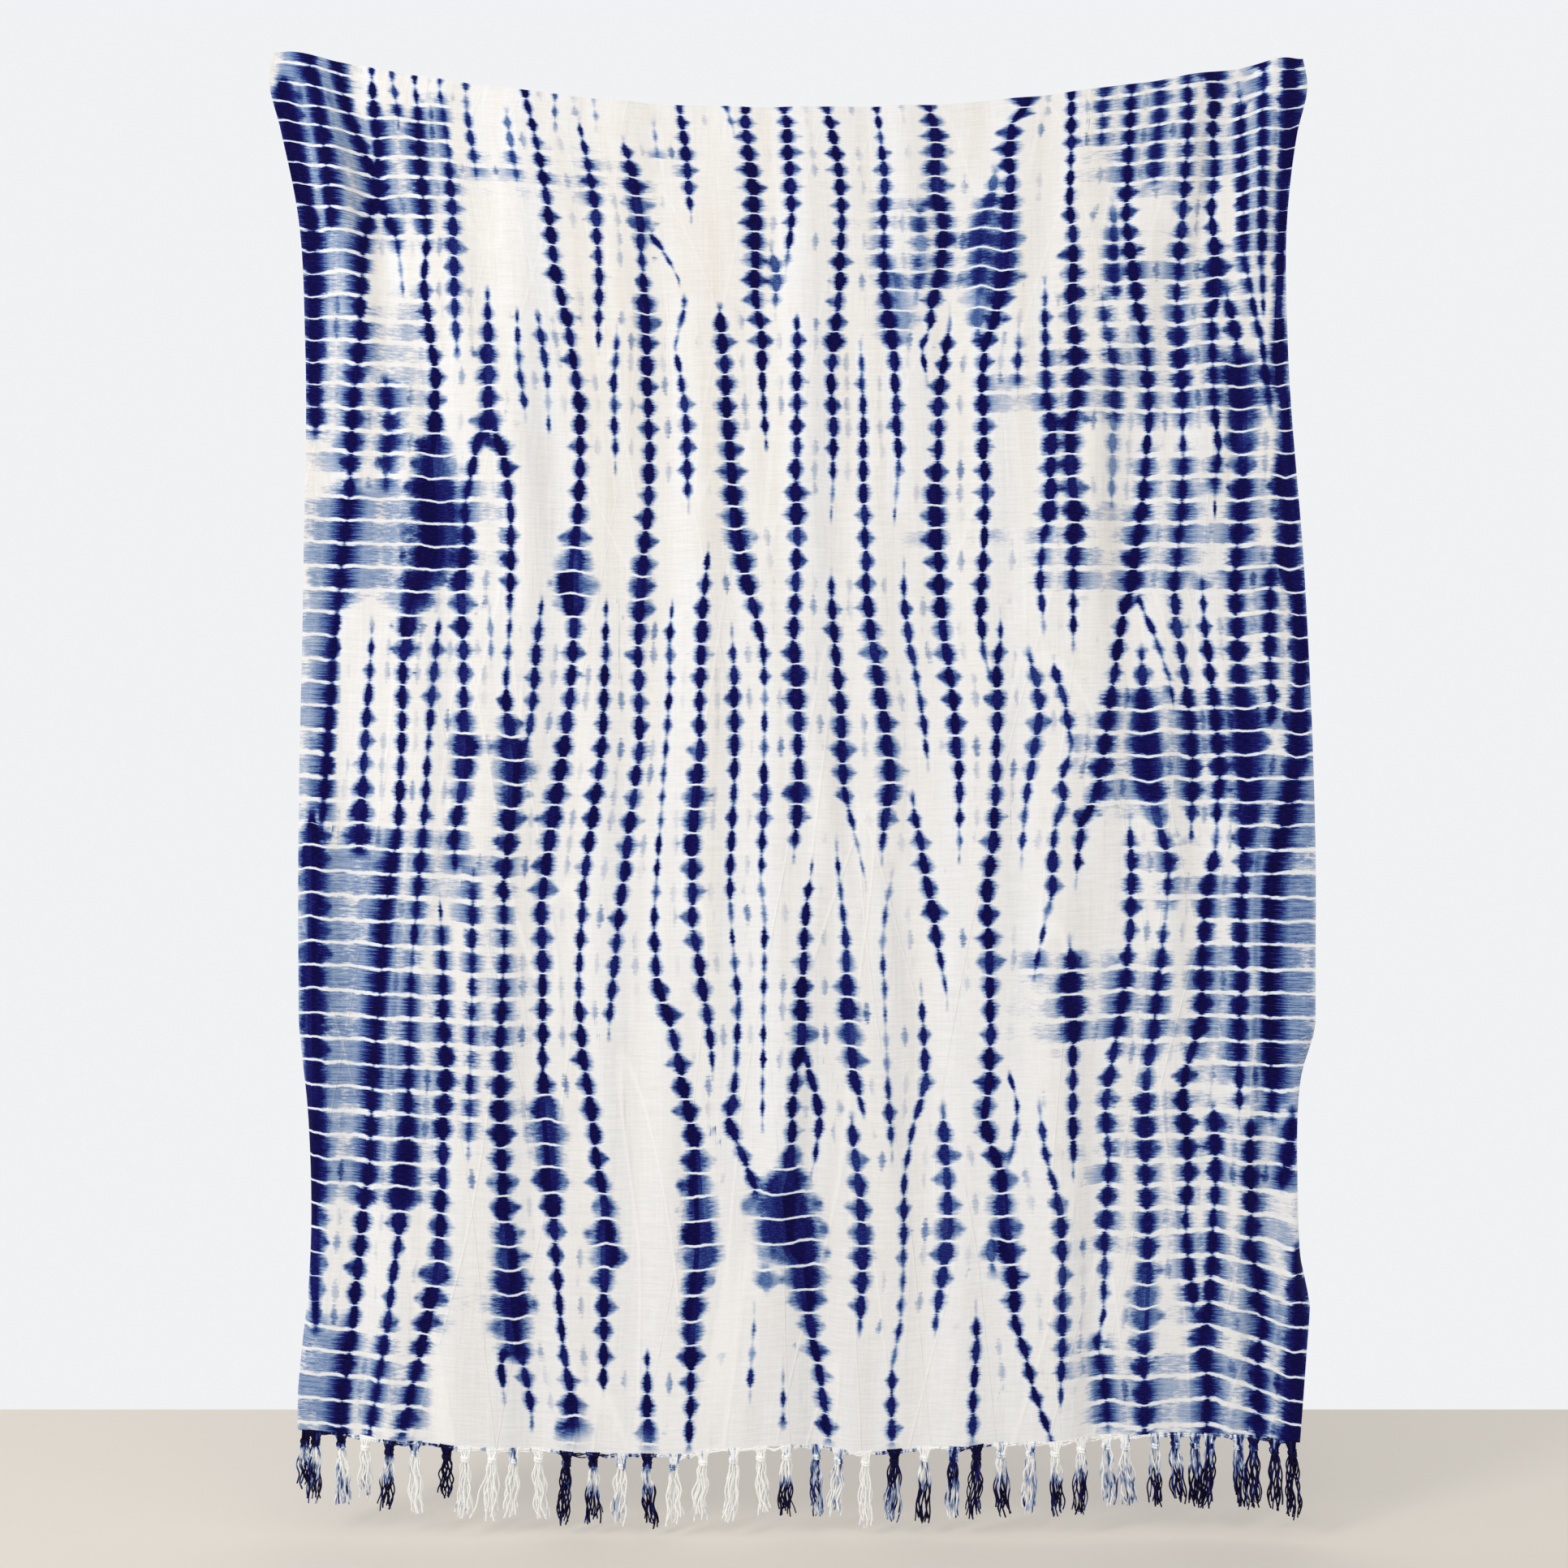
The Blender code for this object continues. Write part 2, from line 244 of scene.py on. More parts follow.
# %% Ripples, folds and curled selvedges
Ripple = namedtuple("Ripple", "length depth phase lean")
RIPPLES = (
    Ripple(length=0.118, depth=0.0038, phase=0.4, lean=0.0009),
    Ripple(length=0.071, depth=0.0018, phase=2.1, lean=-0.0012),
    Ripple(length=0.370, depth=0.0060, phase=1.2, lean=0.0020),
)
Fold = namedtuple("Fold", "first_row last_row x_top x_bottom rise half_width")
FOLDS = (
    Fold(first_row=-4, last_row=20, x_top=-0.630, x_bottom=-0.500, rise=0.010, half_width=0.022),
    Fold(first_row=-4, last_row=26, x_top=-0.600, x_bottom=-0.390, rise=-0.008, half_width=0.026),
    Fold(first_row=-4, last_row=30, x_top=-0.560, x_bottom=-0.240, rise=0.007, half_width=0.030),
    Fold(first_row=-4, last_row=20, x_top=0.615, x_bottom=0.520, rise=0.010, half_width=0.022),
    Fold(first_row=-4, last_row=26, x_top=0.580, x_bottom=0.400, rise=-0.008, half_width=0.026),
    Fold(first_row=-4, last_row=30, x_top=0.540, x_bottom=0.270, rise=0.007, half_width=0.030),
    Fold(first_row=28, last_row=54, x_top=0.020, x_bottom=0.140, rise=0.007, half_width=0.020),
    Fold(first_row=30, last_row=52, x_top=0.075, x_bottom=0.225, rise=-0.006, half_width=0.018),
    Fold(first_row=31, last_row=64, x_top=0.050, x_bottom=-0.080, rise=0.006, half_width=0.022),
    Fold(first_row=36, last_row=66, x_top=0.300, x_bottom=0.330, rise=0.006, half_width=0.024),
    Fold(first_row=38, last_row=66, x_top=-0.120, x_bottom=-0.170, rise=-0.006, half_width=0.024),
    Fold(first_row=30, last_row=66, x_top=-0.400, x_bottom=-0.430, rise=0.008, half_width=0.030),
    Fold(first_row=40, last_row=68, x_top=0.640, x_bottom=0.600, rise=0.012, half_width=0.020),
    Fold(first_row=42, last_row=68, x_top=0.600, x_bottom=0.554, rise=-0.010, half_width=0.022),
    Fold(first_row=34, last_row=66, x_top=0.520, x_bottom=0.500, rise=0.007, half_width=0.022),
)
Curl = namedtuple("Curl", "side first_row last_row reach turn")
CURLS = (
    Curl(side="left", first_row=43, last_row=58.5, reach=0.022, turn=2.0),
    Curl(side="right", first_row=43, last_row=54.5, reach=0.036, turn=2.5),
)


def fold_depth(x, row):
    """How far the cloth stands forward of its mean plane."""
    loose = 0.45 + 0.55 * np.minimum(row / 18.0, 1.0)
    depth = np.zeros_like(x)
    for ripple in RIPPLES:
        turn = 2 * math.pi * (x + ripple.lean * row) / ripple.length + ripple.phase
        depth += ripple.depth * np.sin(turn) * loose
    for fold in FOLDS:
        along = np.clip((row - fold.first_row) / (fold.last_row - fold.first_row), 0.0, 1.0)
        crest = fold.x_top + (fold.x_bottom - fold.x_top) * along
        strength = np.sin(math.pi * along).clip(0.0) ** 0.7
        depth += fold.rise * strength * np.exp(-(((x - crest) / fold.half_width) ** 2))
    return depth


def curled(x, left, right, row):
    """Where a point goes as its selvedge curls back: its place across, and how far back it turns."""
    back = np.zeros_like(x)
    for curl in CURLS:
        along = np.clip((row - curl.first_row) / (curl.last_row - curl.first_row), 0.0, 1.0)
        outward = -1.0 if curl.side == "left" else 1.0
        selvedge = left if curl.side == "left" else right
        past = curl.reach - (selvedge - x) * outward
        turn = curl.turn * np.sin(math.pi * along).clip(0.0) ** 0.8
        rolls = (past > 0.0) & (turn > 0.01)
        radius = curl.reach / np.where(rolls, turn, 1.0)
        rolled_x = selvedge - outward * (curl.reach - radius * np.sin(past / radius))
        x = np.where(rolls, rolled_x, x)
        back = np.where(rolls, radius * (1 - np.cos(past / radius)), back)
    return x, back


def on_cloth(across, row):
    """The place of each point in the hanging cloth, from its share of the width and its row."""
    rows_charted = [edge.row for edge in EDGES]
    left = smooth_through(rows_charted, [edge.left for edge in EDGES], row)
    right = smooth_through(rows_charted, [edge.right for edge in EDGES], row)
    flat_x = left + (right - left) * across
    x, back = curled(flat_x, left, right, row)
    slant = SAG * ((across - SAG_MIDDLE) / 0.5) ** 2 * np.exp(-row / SAG_FADE)
    from_corner = np.minimum(across, 1 - across) * (right - left)
    rounding = CORNER_DROP * np.exp(-((from_corner / CORNER_REACH) ** 2)) * np.exp(-row)
    hem = smooth_through([h.across for h in HEM], [h.lift for h in HEM], across) * (row / ROWS) ** 2
    return x, back - fold_depth(flat_x, row), slant - rounding + hem - row_drop(row)


print("top corner at", [round(float(v[0]), 3) for v in on_cloth(np.array([0.0]), np.array([0.0]))])

# %% [markdown]
# ## Hang the sheet
#
# A grid is the natural start for a cloth: its columns become warp and its rows weft. Each grid point is moved
# to its place in the hanging sheet. The grid's own UV map runs from 0 to 1 over the flat cloth, so a finish
# that uses it stays with the weave where the sheet folds.

# %% Cloth grid
COLUMNS_OF_MESH = 430
ROWS_OF_MESH = 108
deselect_all()
bpy.ops.mesh.primitive_grid_add(x_subdivisions=COLUMNS_OF_MESH, y_subdivisions=ROWS_OF_MESH, size=2.0)
gauze_sheet = bpy.context.object
gauze_sheet.name = "gauze_sheet"
points = np.empty(len(gauze_sheet.data.vertices) * 3)
gauze_sheet.data.vertices.foreach_get("co", points)
points = points.reshape(-1, 3)
across = (points[:, 0] + 1) / 2
row = (1 - points[:, 1]) / 2 * ROWS
hung_x, hung_y, hung_z = on_cloth(across, row)
gauze_sheet.data.vertices.foreach_set("co", np.stack([hung_x, hung_y, hung_z], axis=1).ravel())
print("cloth points:", len(points), "width", round(float(np.ptp(hung_x)), 3), "m")

# %% [markdown]
# ## Chart the pleats
#
# Each chain of beads follows one pleat of the bound cloth. The chart below was drawn up as a dyer
# would note where the pleats ran: a pleat has a few marks, each with its place across and down in mm and the
# half-width of its beads there. Down is measured from the lowest point of the top edge. A pleat's tone is how
# deep the dye went: 1 is nearly black, and 0.5 a middle blue. Where a pleat begins or ends within the cloth,
# its beads shrink.

# %% Chart: left third
Pleat = namedtuple("Pleat", "tone marks")
# marks: (mm across, mm down, half-width in mm)
PLEATS_LEFT = (
    Pleat(1.0, ((-608, -64, 8), (-599, -24, 8), (-594, 1, 8), (-583, 85, 8), (-578, 150, 2))),
    Pleat(1.0, (
        (-641, -30, 8), (-639, -12, 16), (-631, 22, 14), (-622, 70, 13), (-613, 112, 11), (-606, 138, 3),
    )),
    Pleat(0.95, ((-606, 120, 4), (-604, 191, 12), (-603, 300, 14), (-601, 380, 10), (-599, 414, 1))),
    Pleat(1.0, ((-604, 884, 2), (-604, 905, 17), (-604, 1365, 19), (-602, 1446, 12), (-600, 1527, 4))),
    Pleat(1.0, ((-575, -56, 3), (-562, -1, 6), (-549, 34, 7), (-536, 63, 9), (-528, 86, 9))),
    Pleat(1.0, (
        (-530, -46, 3), (-527, 1, 7), (-523, 43, 8), (-525, 94, 12), (-525, 115, 10), (-536, 138, 8),
        (-541, 189, 6), (-542, 243, 7), (-544, 298, 10), (-552, 351, 10), (-556, 439, 9), (-559, 498, 4),
        (-566, 556, 6), (-578, 682, 5), (-585, 806, 5), (-591, 885, 4), (-594, 905, 4),
    )),
    Pleat(1.0, ((-520, 120, 6), (-506, 146, 5), (-499, 166, 4), (-493, 217, 3), (-491, 235, 1))),
    Pleat(0.7, ((-504, -35, 4), (-497, 1, 4), (-495, 20, 1))),
    Pleat(1.0, (
        (-476, -35, 3), (-472, 1, 4), (-467, 68, 9), (-463, 119, 5), (-459, 170, 4), (-464, 220, 7),
        (-457, 279, 9), (-449, 333, 10), (-451, 390, 11), (-448, 416, 18), (-453, 444, 27), (-447, 504, 36),
        (-445, 566, 42), (-467, 596, 27), (-478, 624, 19), (-490, 694, 11), (-490, 759, 10), (-495, 896, 7),
        (-512, 1004, 4), (-515, 1064, 5), (-526, 1187, 5), (-532, 1322, 9), (-541, 1386, 13),
        (-553, 1511, 10), (-559, 1570, 6), (-568, 1624, 7), (-568, 1660, 9),
    )),
    Pleat(0.85, (
        (-444, -25, 3), (-433, 54, 3), (-427, 128, 10), (-424, 206, 11), (-424, 263, 10), (-421, 312, 2),
    )),
    Pleat(0.8, ((-412, -22, 3), (-410, 9, 5), (-403, 53, 7), (-398, 84, 2))),
    Pleat(0.55, ((-360, 10, 4), (-349, 78, 5), (-346, 95, 1))),
    Pleat(1.0, (
        (-337, -14, 6), (-328, 21, 5), (-314, 89, 7), (-307, 138, 10), (-299, 212, 10), (-284, 271, 10),
        (-269, 377, 10), (-269, 465, 9), (-273, 524, 12), (-278, 576, 22), (-277, 606, 26), (-277, 641, 12),
        (-279, 705, 10), (-293, 829, 12), (-304, 883, 14), (-318, 997, 12), (-316, 1107, 10),
        (-316, 1200, 6), (-312, 1262, 22), (-307, 1322, 20), (-299, 1446, 7), (-289, 1565, 6),
        (-278, 1621, 14), (-274, 1660, 22),
    )),
    Pleat(0.6, ((-300, 5, 3), (-299, 24, 2))),
    Pleat(0.9, ((-384, 225, 2), (-383, 284, 12), (-382, 366, 13), (-382, 393, 17), (-386, 412, 14))),
    Pleat(0.95, (
        (-390, 400, 8), (-397, 418, 10), (-402, 447, 7), (-414, 501, 5), (-410, 534, 8), (-418, 599, 16),
        (-414, 661, 10), (-414, 729, 9), (-414, 759, 14), (-410, 801, 19), (-415, 847, 16), (-425, 904, 8),
        (-424, 955, 2),
    )),
    Pleat(1.0, (
        (-376, 400, 10), (-367, 424, 14), (-359, 452, 11), (-354, 506, 6), (-354, 569, 9), (-355, 596, 11),
        (-355, 625, 3), (-360, 729, 5), (-360, 759, 12), (-351, 816, 22), (-355, 904, 14), (-363, 960, 8),
        (-362, 1045, 3), (-367, 1162, 9), (-367, 1257, 13), (-364, 1384, 14), (-358, 1448, 21),
        (-354, 1508, 24), (-349, 1563, 16),
    )),
    Pleat(1.0, ((-360, 1545, 6), (-368, 1565, 8), (-364, 1598, 4), (-363, 1612, 1))),
    Pleat(1.0, ((-344, 1560, 10), (-341, 1572, 9), (-332, 1619, 8), (-330, 1645, 2))),
    Pleat(0.8, ((-346, 260, 1), (-346, 271, 3), (-344, 321, 5), (-337, 372, 5), (-335, 390, 1))),
    Pleat(0.8, ((-322, 258, 2), (-317, 289, 8), (-310, 336, 4), (-308, 400, 2))),
    Pleat(0.9, ((-316, 620, 2), (-322, 659, 8), (-326, 723, 8), (-332, 782, 6), (-344, 808, 8))),
    Pleat(0.9, (
        (-444, 640, 2), (-448, 674, 8), (-453, 734, 8), (-457, 795, 4), (-461, 880, 7), (-466, 935, 7),
        (-478, 1074, 3), (-481, 1198, 4), (-482, 1257, 10), (-487, 1320, 18), (-489, 1351, 20),
        (-494, 1413, 8), (-504, 1483, 6), (-507, 1513, 10), (-515, 1565, 6), (-532, 1660, 6),
    )),
    Pleat(1.0, (
        (-443, 990, 1), (-439, 1072, 4), (-439, 1135, 6), (-434, 1193, 11), (-438, 1255, 12),
        (-439, 1320, 9), (-444, 1448, 17), (-451, 1480, 15), (-463, 1534, 12), (-477, 1593, 6),
        (-490, 1660, 14),
    )),
    Pleat(0.75, ((-400, 962, 2), (-401, 999, 8), (-402, 1105, 3), (-406, 1291, 4), (-407, 1310, 1))),
    Pleat(0.9, (
        (-530, 650, 2), (-533, 721, 6), (-538, 782, 8), (-541, 842, 10), (-545, 896, 17), (-546, 930, 14),
    )),
    Pleat(0.5, ((-381, 630, 2), (-379, 669, 5), (-379, 694, 1))),
    Pleat(0.6, ((-513, 335, 4), (-506, 408, 14), (-513, 436, 14), (-513, 472, 3))),
)
print("pleats charted on the left:", len(PLEATS_LEFT))

# %% Chart: middle third
PLEATS_MIDDLE = (
    Pleat(0.9, (
        (-270, 20, 2), (-260, 67, 6), (-251, 115, 10), (-249, 142, 10), (-246, 189, 6), (-245, 216, 9),
        (-246, 302, 2),
    )),
    Pleat(0.55, ((-252, -8, 3), (-249, 17, 2))),
    Pleat(0.9, (
        (-223, 278, 1), (-223, 293, 6), (-227, 340, 5), (-226, 396, 6), (-225, 424, 4), (-225, 446, 1),
    )),
    Pleat(1.0, (
        (-236, 612, 1), (-237, 668, 6), (-240, 784, 8), (-247, 849, 10), (-264, 959, 8), (-272, 1097, 5),
        (-266, 1185, 10), (-255, 1249, 12), (-249, 1311, 10), (-238, 1374, 15), (-237, 1436, 22),
        (-239, 1468, 12), (-240, 1578, 8), (-240, 1604, 2),
    )),
    Pleat(0.95, (
        (-215, 44, 3), (-207, 69, 9), (-202, 92, 14), (-193, 147, 15), (-194, 174, 7), (-191, 197, 5),
        (-188, 253, 16), (-186, 307, 10), (-183, 411, 9), (-184, 493, 9), (-189, 555, 11), (-193, 596, 17),
        (-197, 673, 10), (-195, 800, 9), (-210, 916, 11), (-222, 1024, 8), (-232, 1132, 6), (-233, 1152, 1),
    )),
    Pleat(0.9, ((-180, 158, 6), (-172, 167, 7), (-158, 190, 2), (-144, 217, 1))),
    Pleat(0.5, ((-177, 20, 3), (-172, 66, 2))),
    Pleat(0.95, ((-146, -2, 5), (-142, 17, 7), (-136, 58, 8), (-133, 103, 9), (-130, 134, 1))),
    Pleat(0.9, (
        (-139, 238, 2), (-139, 252, 6), (-151, 296, 2), (-142, 340, 5), (-136, 397, 10), (-134, 477, 6),
        (-133, 497, 1),
    )),
    Pleat(1.0, (
        (-154, 624, 1), (-158, 663, 6), (-157, 723, 4), (-167, 872, 3), (-177, 1014, 4), (-175, 1063, 8),
        (-173, 1094, 12), (-162, 1124, 13), (-153, 1155, 9), (-142, 1212, 11), (-124, 1303, 14),
        (-119, 1399, 24), (-119, 1430, 27), (-123, 1460, 16), (-130, 1517, 17), (-130, 1588, 9),
        (-132, 1665, 6),
    )),
    Pleat(0.95, (
        (-108, 550, 1), (-114, 614, 9), (-117, 676, 11), (-119, 736, 7), (-119, 799, 9), (-124, 858, 16),
        (-128, 913, 13), (-129, 1022, 10), (-119, 1071, 9), (-115, 1102, 11), (-106, 1160, 9),
        (-103, 1204, 1),
    )),
    Pleat(0.95, (
        (-79, 650, 1), (-76, 725, 8), (-75, 783, 10), (-76, 841, 5), (-82, 977, 6), (-79, 1029, 2),
        (-71, 1116, 6), (-74, 1203, 4), (-78, 1236, 10), (-83, 1268, 10), (-71, 1297, 8), (-59, 1325, 9),
        (-50, 1350, 10),
    )),
    Pleat(1.0, (
        (-94, 252, 4), (-91, 282, 12), (-88, 330, 11), (-85, 385, 13), (-77, 498, 14), (-74, 528, 18),
        (-63, 582, 13), (-55, 614, 11), (-40, 671, 7), (-38, 733, 3), (-39, 823, 4), (-39, 854, 10),
        (-41, 908, 6), (-43, 962, 3), (-38, 1015, 4), (-41, 1272, 2),
    )),
    Pleat(0.8, ((-86, 0, 4), (-80, 19, 4), (-76, 32, 1))),
    Pleat(1.0, (
        (-62, -2, 6), (-63, 20, 10), (-51, 112, 13), (-50, 167, 14), (-50, 242, 12), (-44, 268, 9),
        (-41, 293, 12), (-41, 340, 5), (-38, 392, 5), (-36, 424, 1),
    )),
    Pleat(0.65, ((-30, 178, 3), (-22, 208, 14), (-25, 237, 7), (-25, 252, 1))),
    Pleat(1.0, ((-16, -2, 8), (-10, 24, 11), (-6, 112, 11), (-4, 139, 7), (-10, 188, 5), (-12, 207, 1))),
    Pleat(0.95, (
        (2, 268, 2), (2, 284, 8), (2, 307, 9), (2, 409, 7), (1, 465, 9), (1, 489, 13), (2, 552, 10),
        (-2, 671, 9), (1, 701, 14), (3, 766, 12), (4, 828, 9), (5, 854, 17), (1, 908, 8), (-2, 934, 1),
    )),
    Pleat(0.95, (
        (45, 580, 2), (46, 624, 8), (56, 743, 10), (58, 775, 13), (59, 833, 12), (62, 858, 8), (69, 884, 4),
        (88, 966, 1),
    )),
    Pleat(0.9, (
        (51, 920, 2), (57, 986, 4), (63, 1037, 6), (64, 1092, 13), (68, 1152, 16), (73, 1206, 13),
        (87, 1264, 1),
    )),
    Pleat(0.85, (
        (71, 1264, 3), (71, 1276, 9), (78, 1333, 11), (83, 1393, 13), (85, 1424, 15), (82, 1510, 8),
        (80, 1535, 1),
    )),
    Pleat(1.0, (
        (21, 945, 1), (13, 1001, 6), (11, 1051, 9), (8, 1109, 12), (8, 1170, 15), (1, 1200, 9),
        (-4, 1259, 7), (-4, 1290, 10), (-8, 1324, 19), (-17, 1355, 42), (-13, 1387, 45), (-9, 1426, 46),
        (10, 1450, 26), (13, 1479, 22), (16, 1510, 14), (30, 1578, 10), (42, 1670, 9),
    )),
    Pleat(0.95, ((10, 1183, 6), (16, 1197, 8), (24, 1226, 7), (31, 1257, 8), (25, 1316, 3), (20, 1332, 1))),
    Pleat(0.55, ((-38, 1440, 10), (-36, 1458, 20), (-36, 1470, 12), (-36, 1478, 2))),
    Pleat(1.0, (
        (38, 0, 8), (48, 38, 7), (55, 82, 10), (58, 134, 8), (56, 208, 10), (52, 260, 8), (49, 287, 14),
        (44, 338, 7), (48, 394, 9), (47, 472, 3), (45, 508, 1),
    )),
    Pleat(0.95, (
        (82, 293, 1), (82, 307, 4), (85, 380, 6), (85, 486, 8), (88, 550, 8), (89, 603, 9), (96, 666, 13),
        (111, 758, 12), (119, 821, 15), (120, 849, 17), (114, 874, 13), (111, 901, 8), (108, 942, 1),
    )),
    Pleat(0.8, (
        (123, 955, 2), (114, 996, 4), (109, 1045, 3), (111, 1102, 4), (112, 1132, 2), (116, 1219, 4),
        (119, 1277, 8), (121, 1302, 1),
    )),
    Pleat(0.95, (
        (101, -4, 5), (106, 34, 4), (111, 80, 10), (111, 124, 9), (111, 153, 5), (111, 178, 6),
        (112, 228, 9), (120, 281, 14), (123, 307, 9), (126, 361, 6), (126, 386, 9), (130, 438, 6),
        (124, 512, 1),
    )),
    Pleat(0.45, ((105, 186, 8), (124, 215, 20), (126, 255, 26), (122, 282, 24), (125, 303, 6))),
    Pleat(0.9, (
        (136, 570, 1), (136, 614, 6), (143, 671, 7), (150, 699, 6), (155, 729, 4), (160, 761, 7),
        (167, 823, 1),
    )),
    Pleat(0.95, (
        (164, -6, 8), (173, 16, 12), (176, 38, 15), (176, 112, 16), (186, 137, 14), (186, 160, 14),
        (180, 214, 13), (170, 244, 12), (171, 267, 4), (158, 299, 4), (165, 337, 2),
    )),
    Pleat(0.4, ((156, 122, 8), (158, 200, 16), (152, 225, 12), (150, 242, 3))),
    Pleat(1.0, (
        (194, 256, 1), (194, 270, 3), (190, 293, 8), (187, 317, 7), (179, 363, 12), (180, 424, 8),
        (178, 452, 9), (176, 480, 16), (178, 541, 14), (180, 568, 11), (185, 658, 13), (191, 689, 11),
        (199, 746, 9), (201, 779, 12), (205, 835, 8), (205, 864, 5), (205, 916, 3), (205, 932, 1),
    )),
    Pleat(0.95, (
        (147, 858, 2), (148, 874, 5), (154, 902, 8), (162, 950, 11), (173, 1002, 12), (176, 1027, 9),
        (179, 1050, 6), (190, 1112, 1),
    )),
    Pleat(0.85, (
        (158, 1098, 1), (160, 1130, 4), (163, 1187, 6), (164, 1217, 10), (157, 1244, 6), (148, 1274, 4),
        (136, 1339, 4), (136, 1401, 7), (135, 1463, 4), (132, 1520, 4), (121, 1578, 4), (121, 1665, 10),
    )),
    Pleat(0.8, (
        (185, 1252, 3), (187, 1295, 13), (191, 1356, 11), (191, 1390, 17), (189, 1422, 14), (185, 1452, 11),
        (176, 1512, 6), (175, 1534, 1),
    )),
    Pleat(1.0, ((-185, 1555, 2), (-185, 1600, 7), (-185, 1665, 15))),
    Pleat(0.8, ((-51, 1505, 1), (-56, 1588, 4), (-56, 1606, 1))),
    Pleat(0.8, ((-15, 1574, 1), (-15, 1645, 4))),
    Pleat(0.95, ((225, 1500, 1), (227, 1527, 8), (223, 1588, 6), (220, 1665, 8))),
)
print("pleats charted in the middle:", len(PLEATS_MIDDLE))

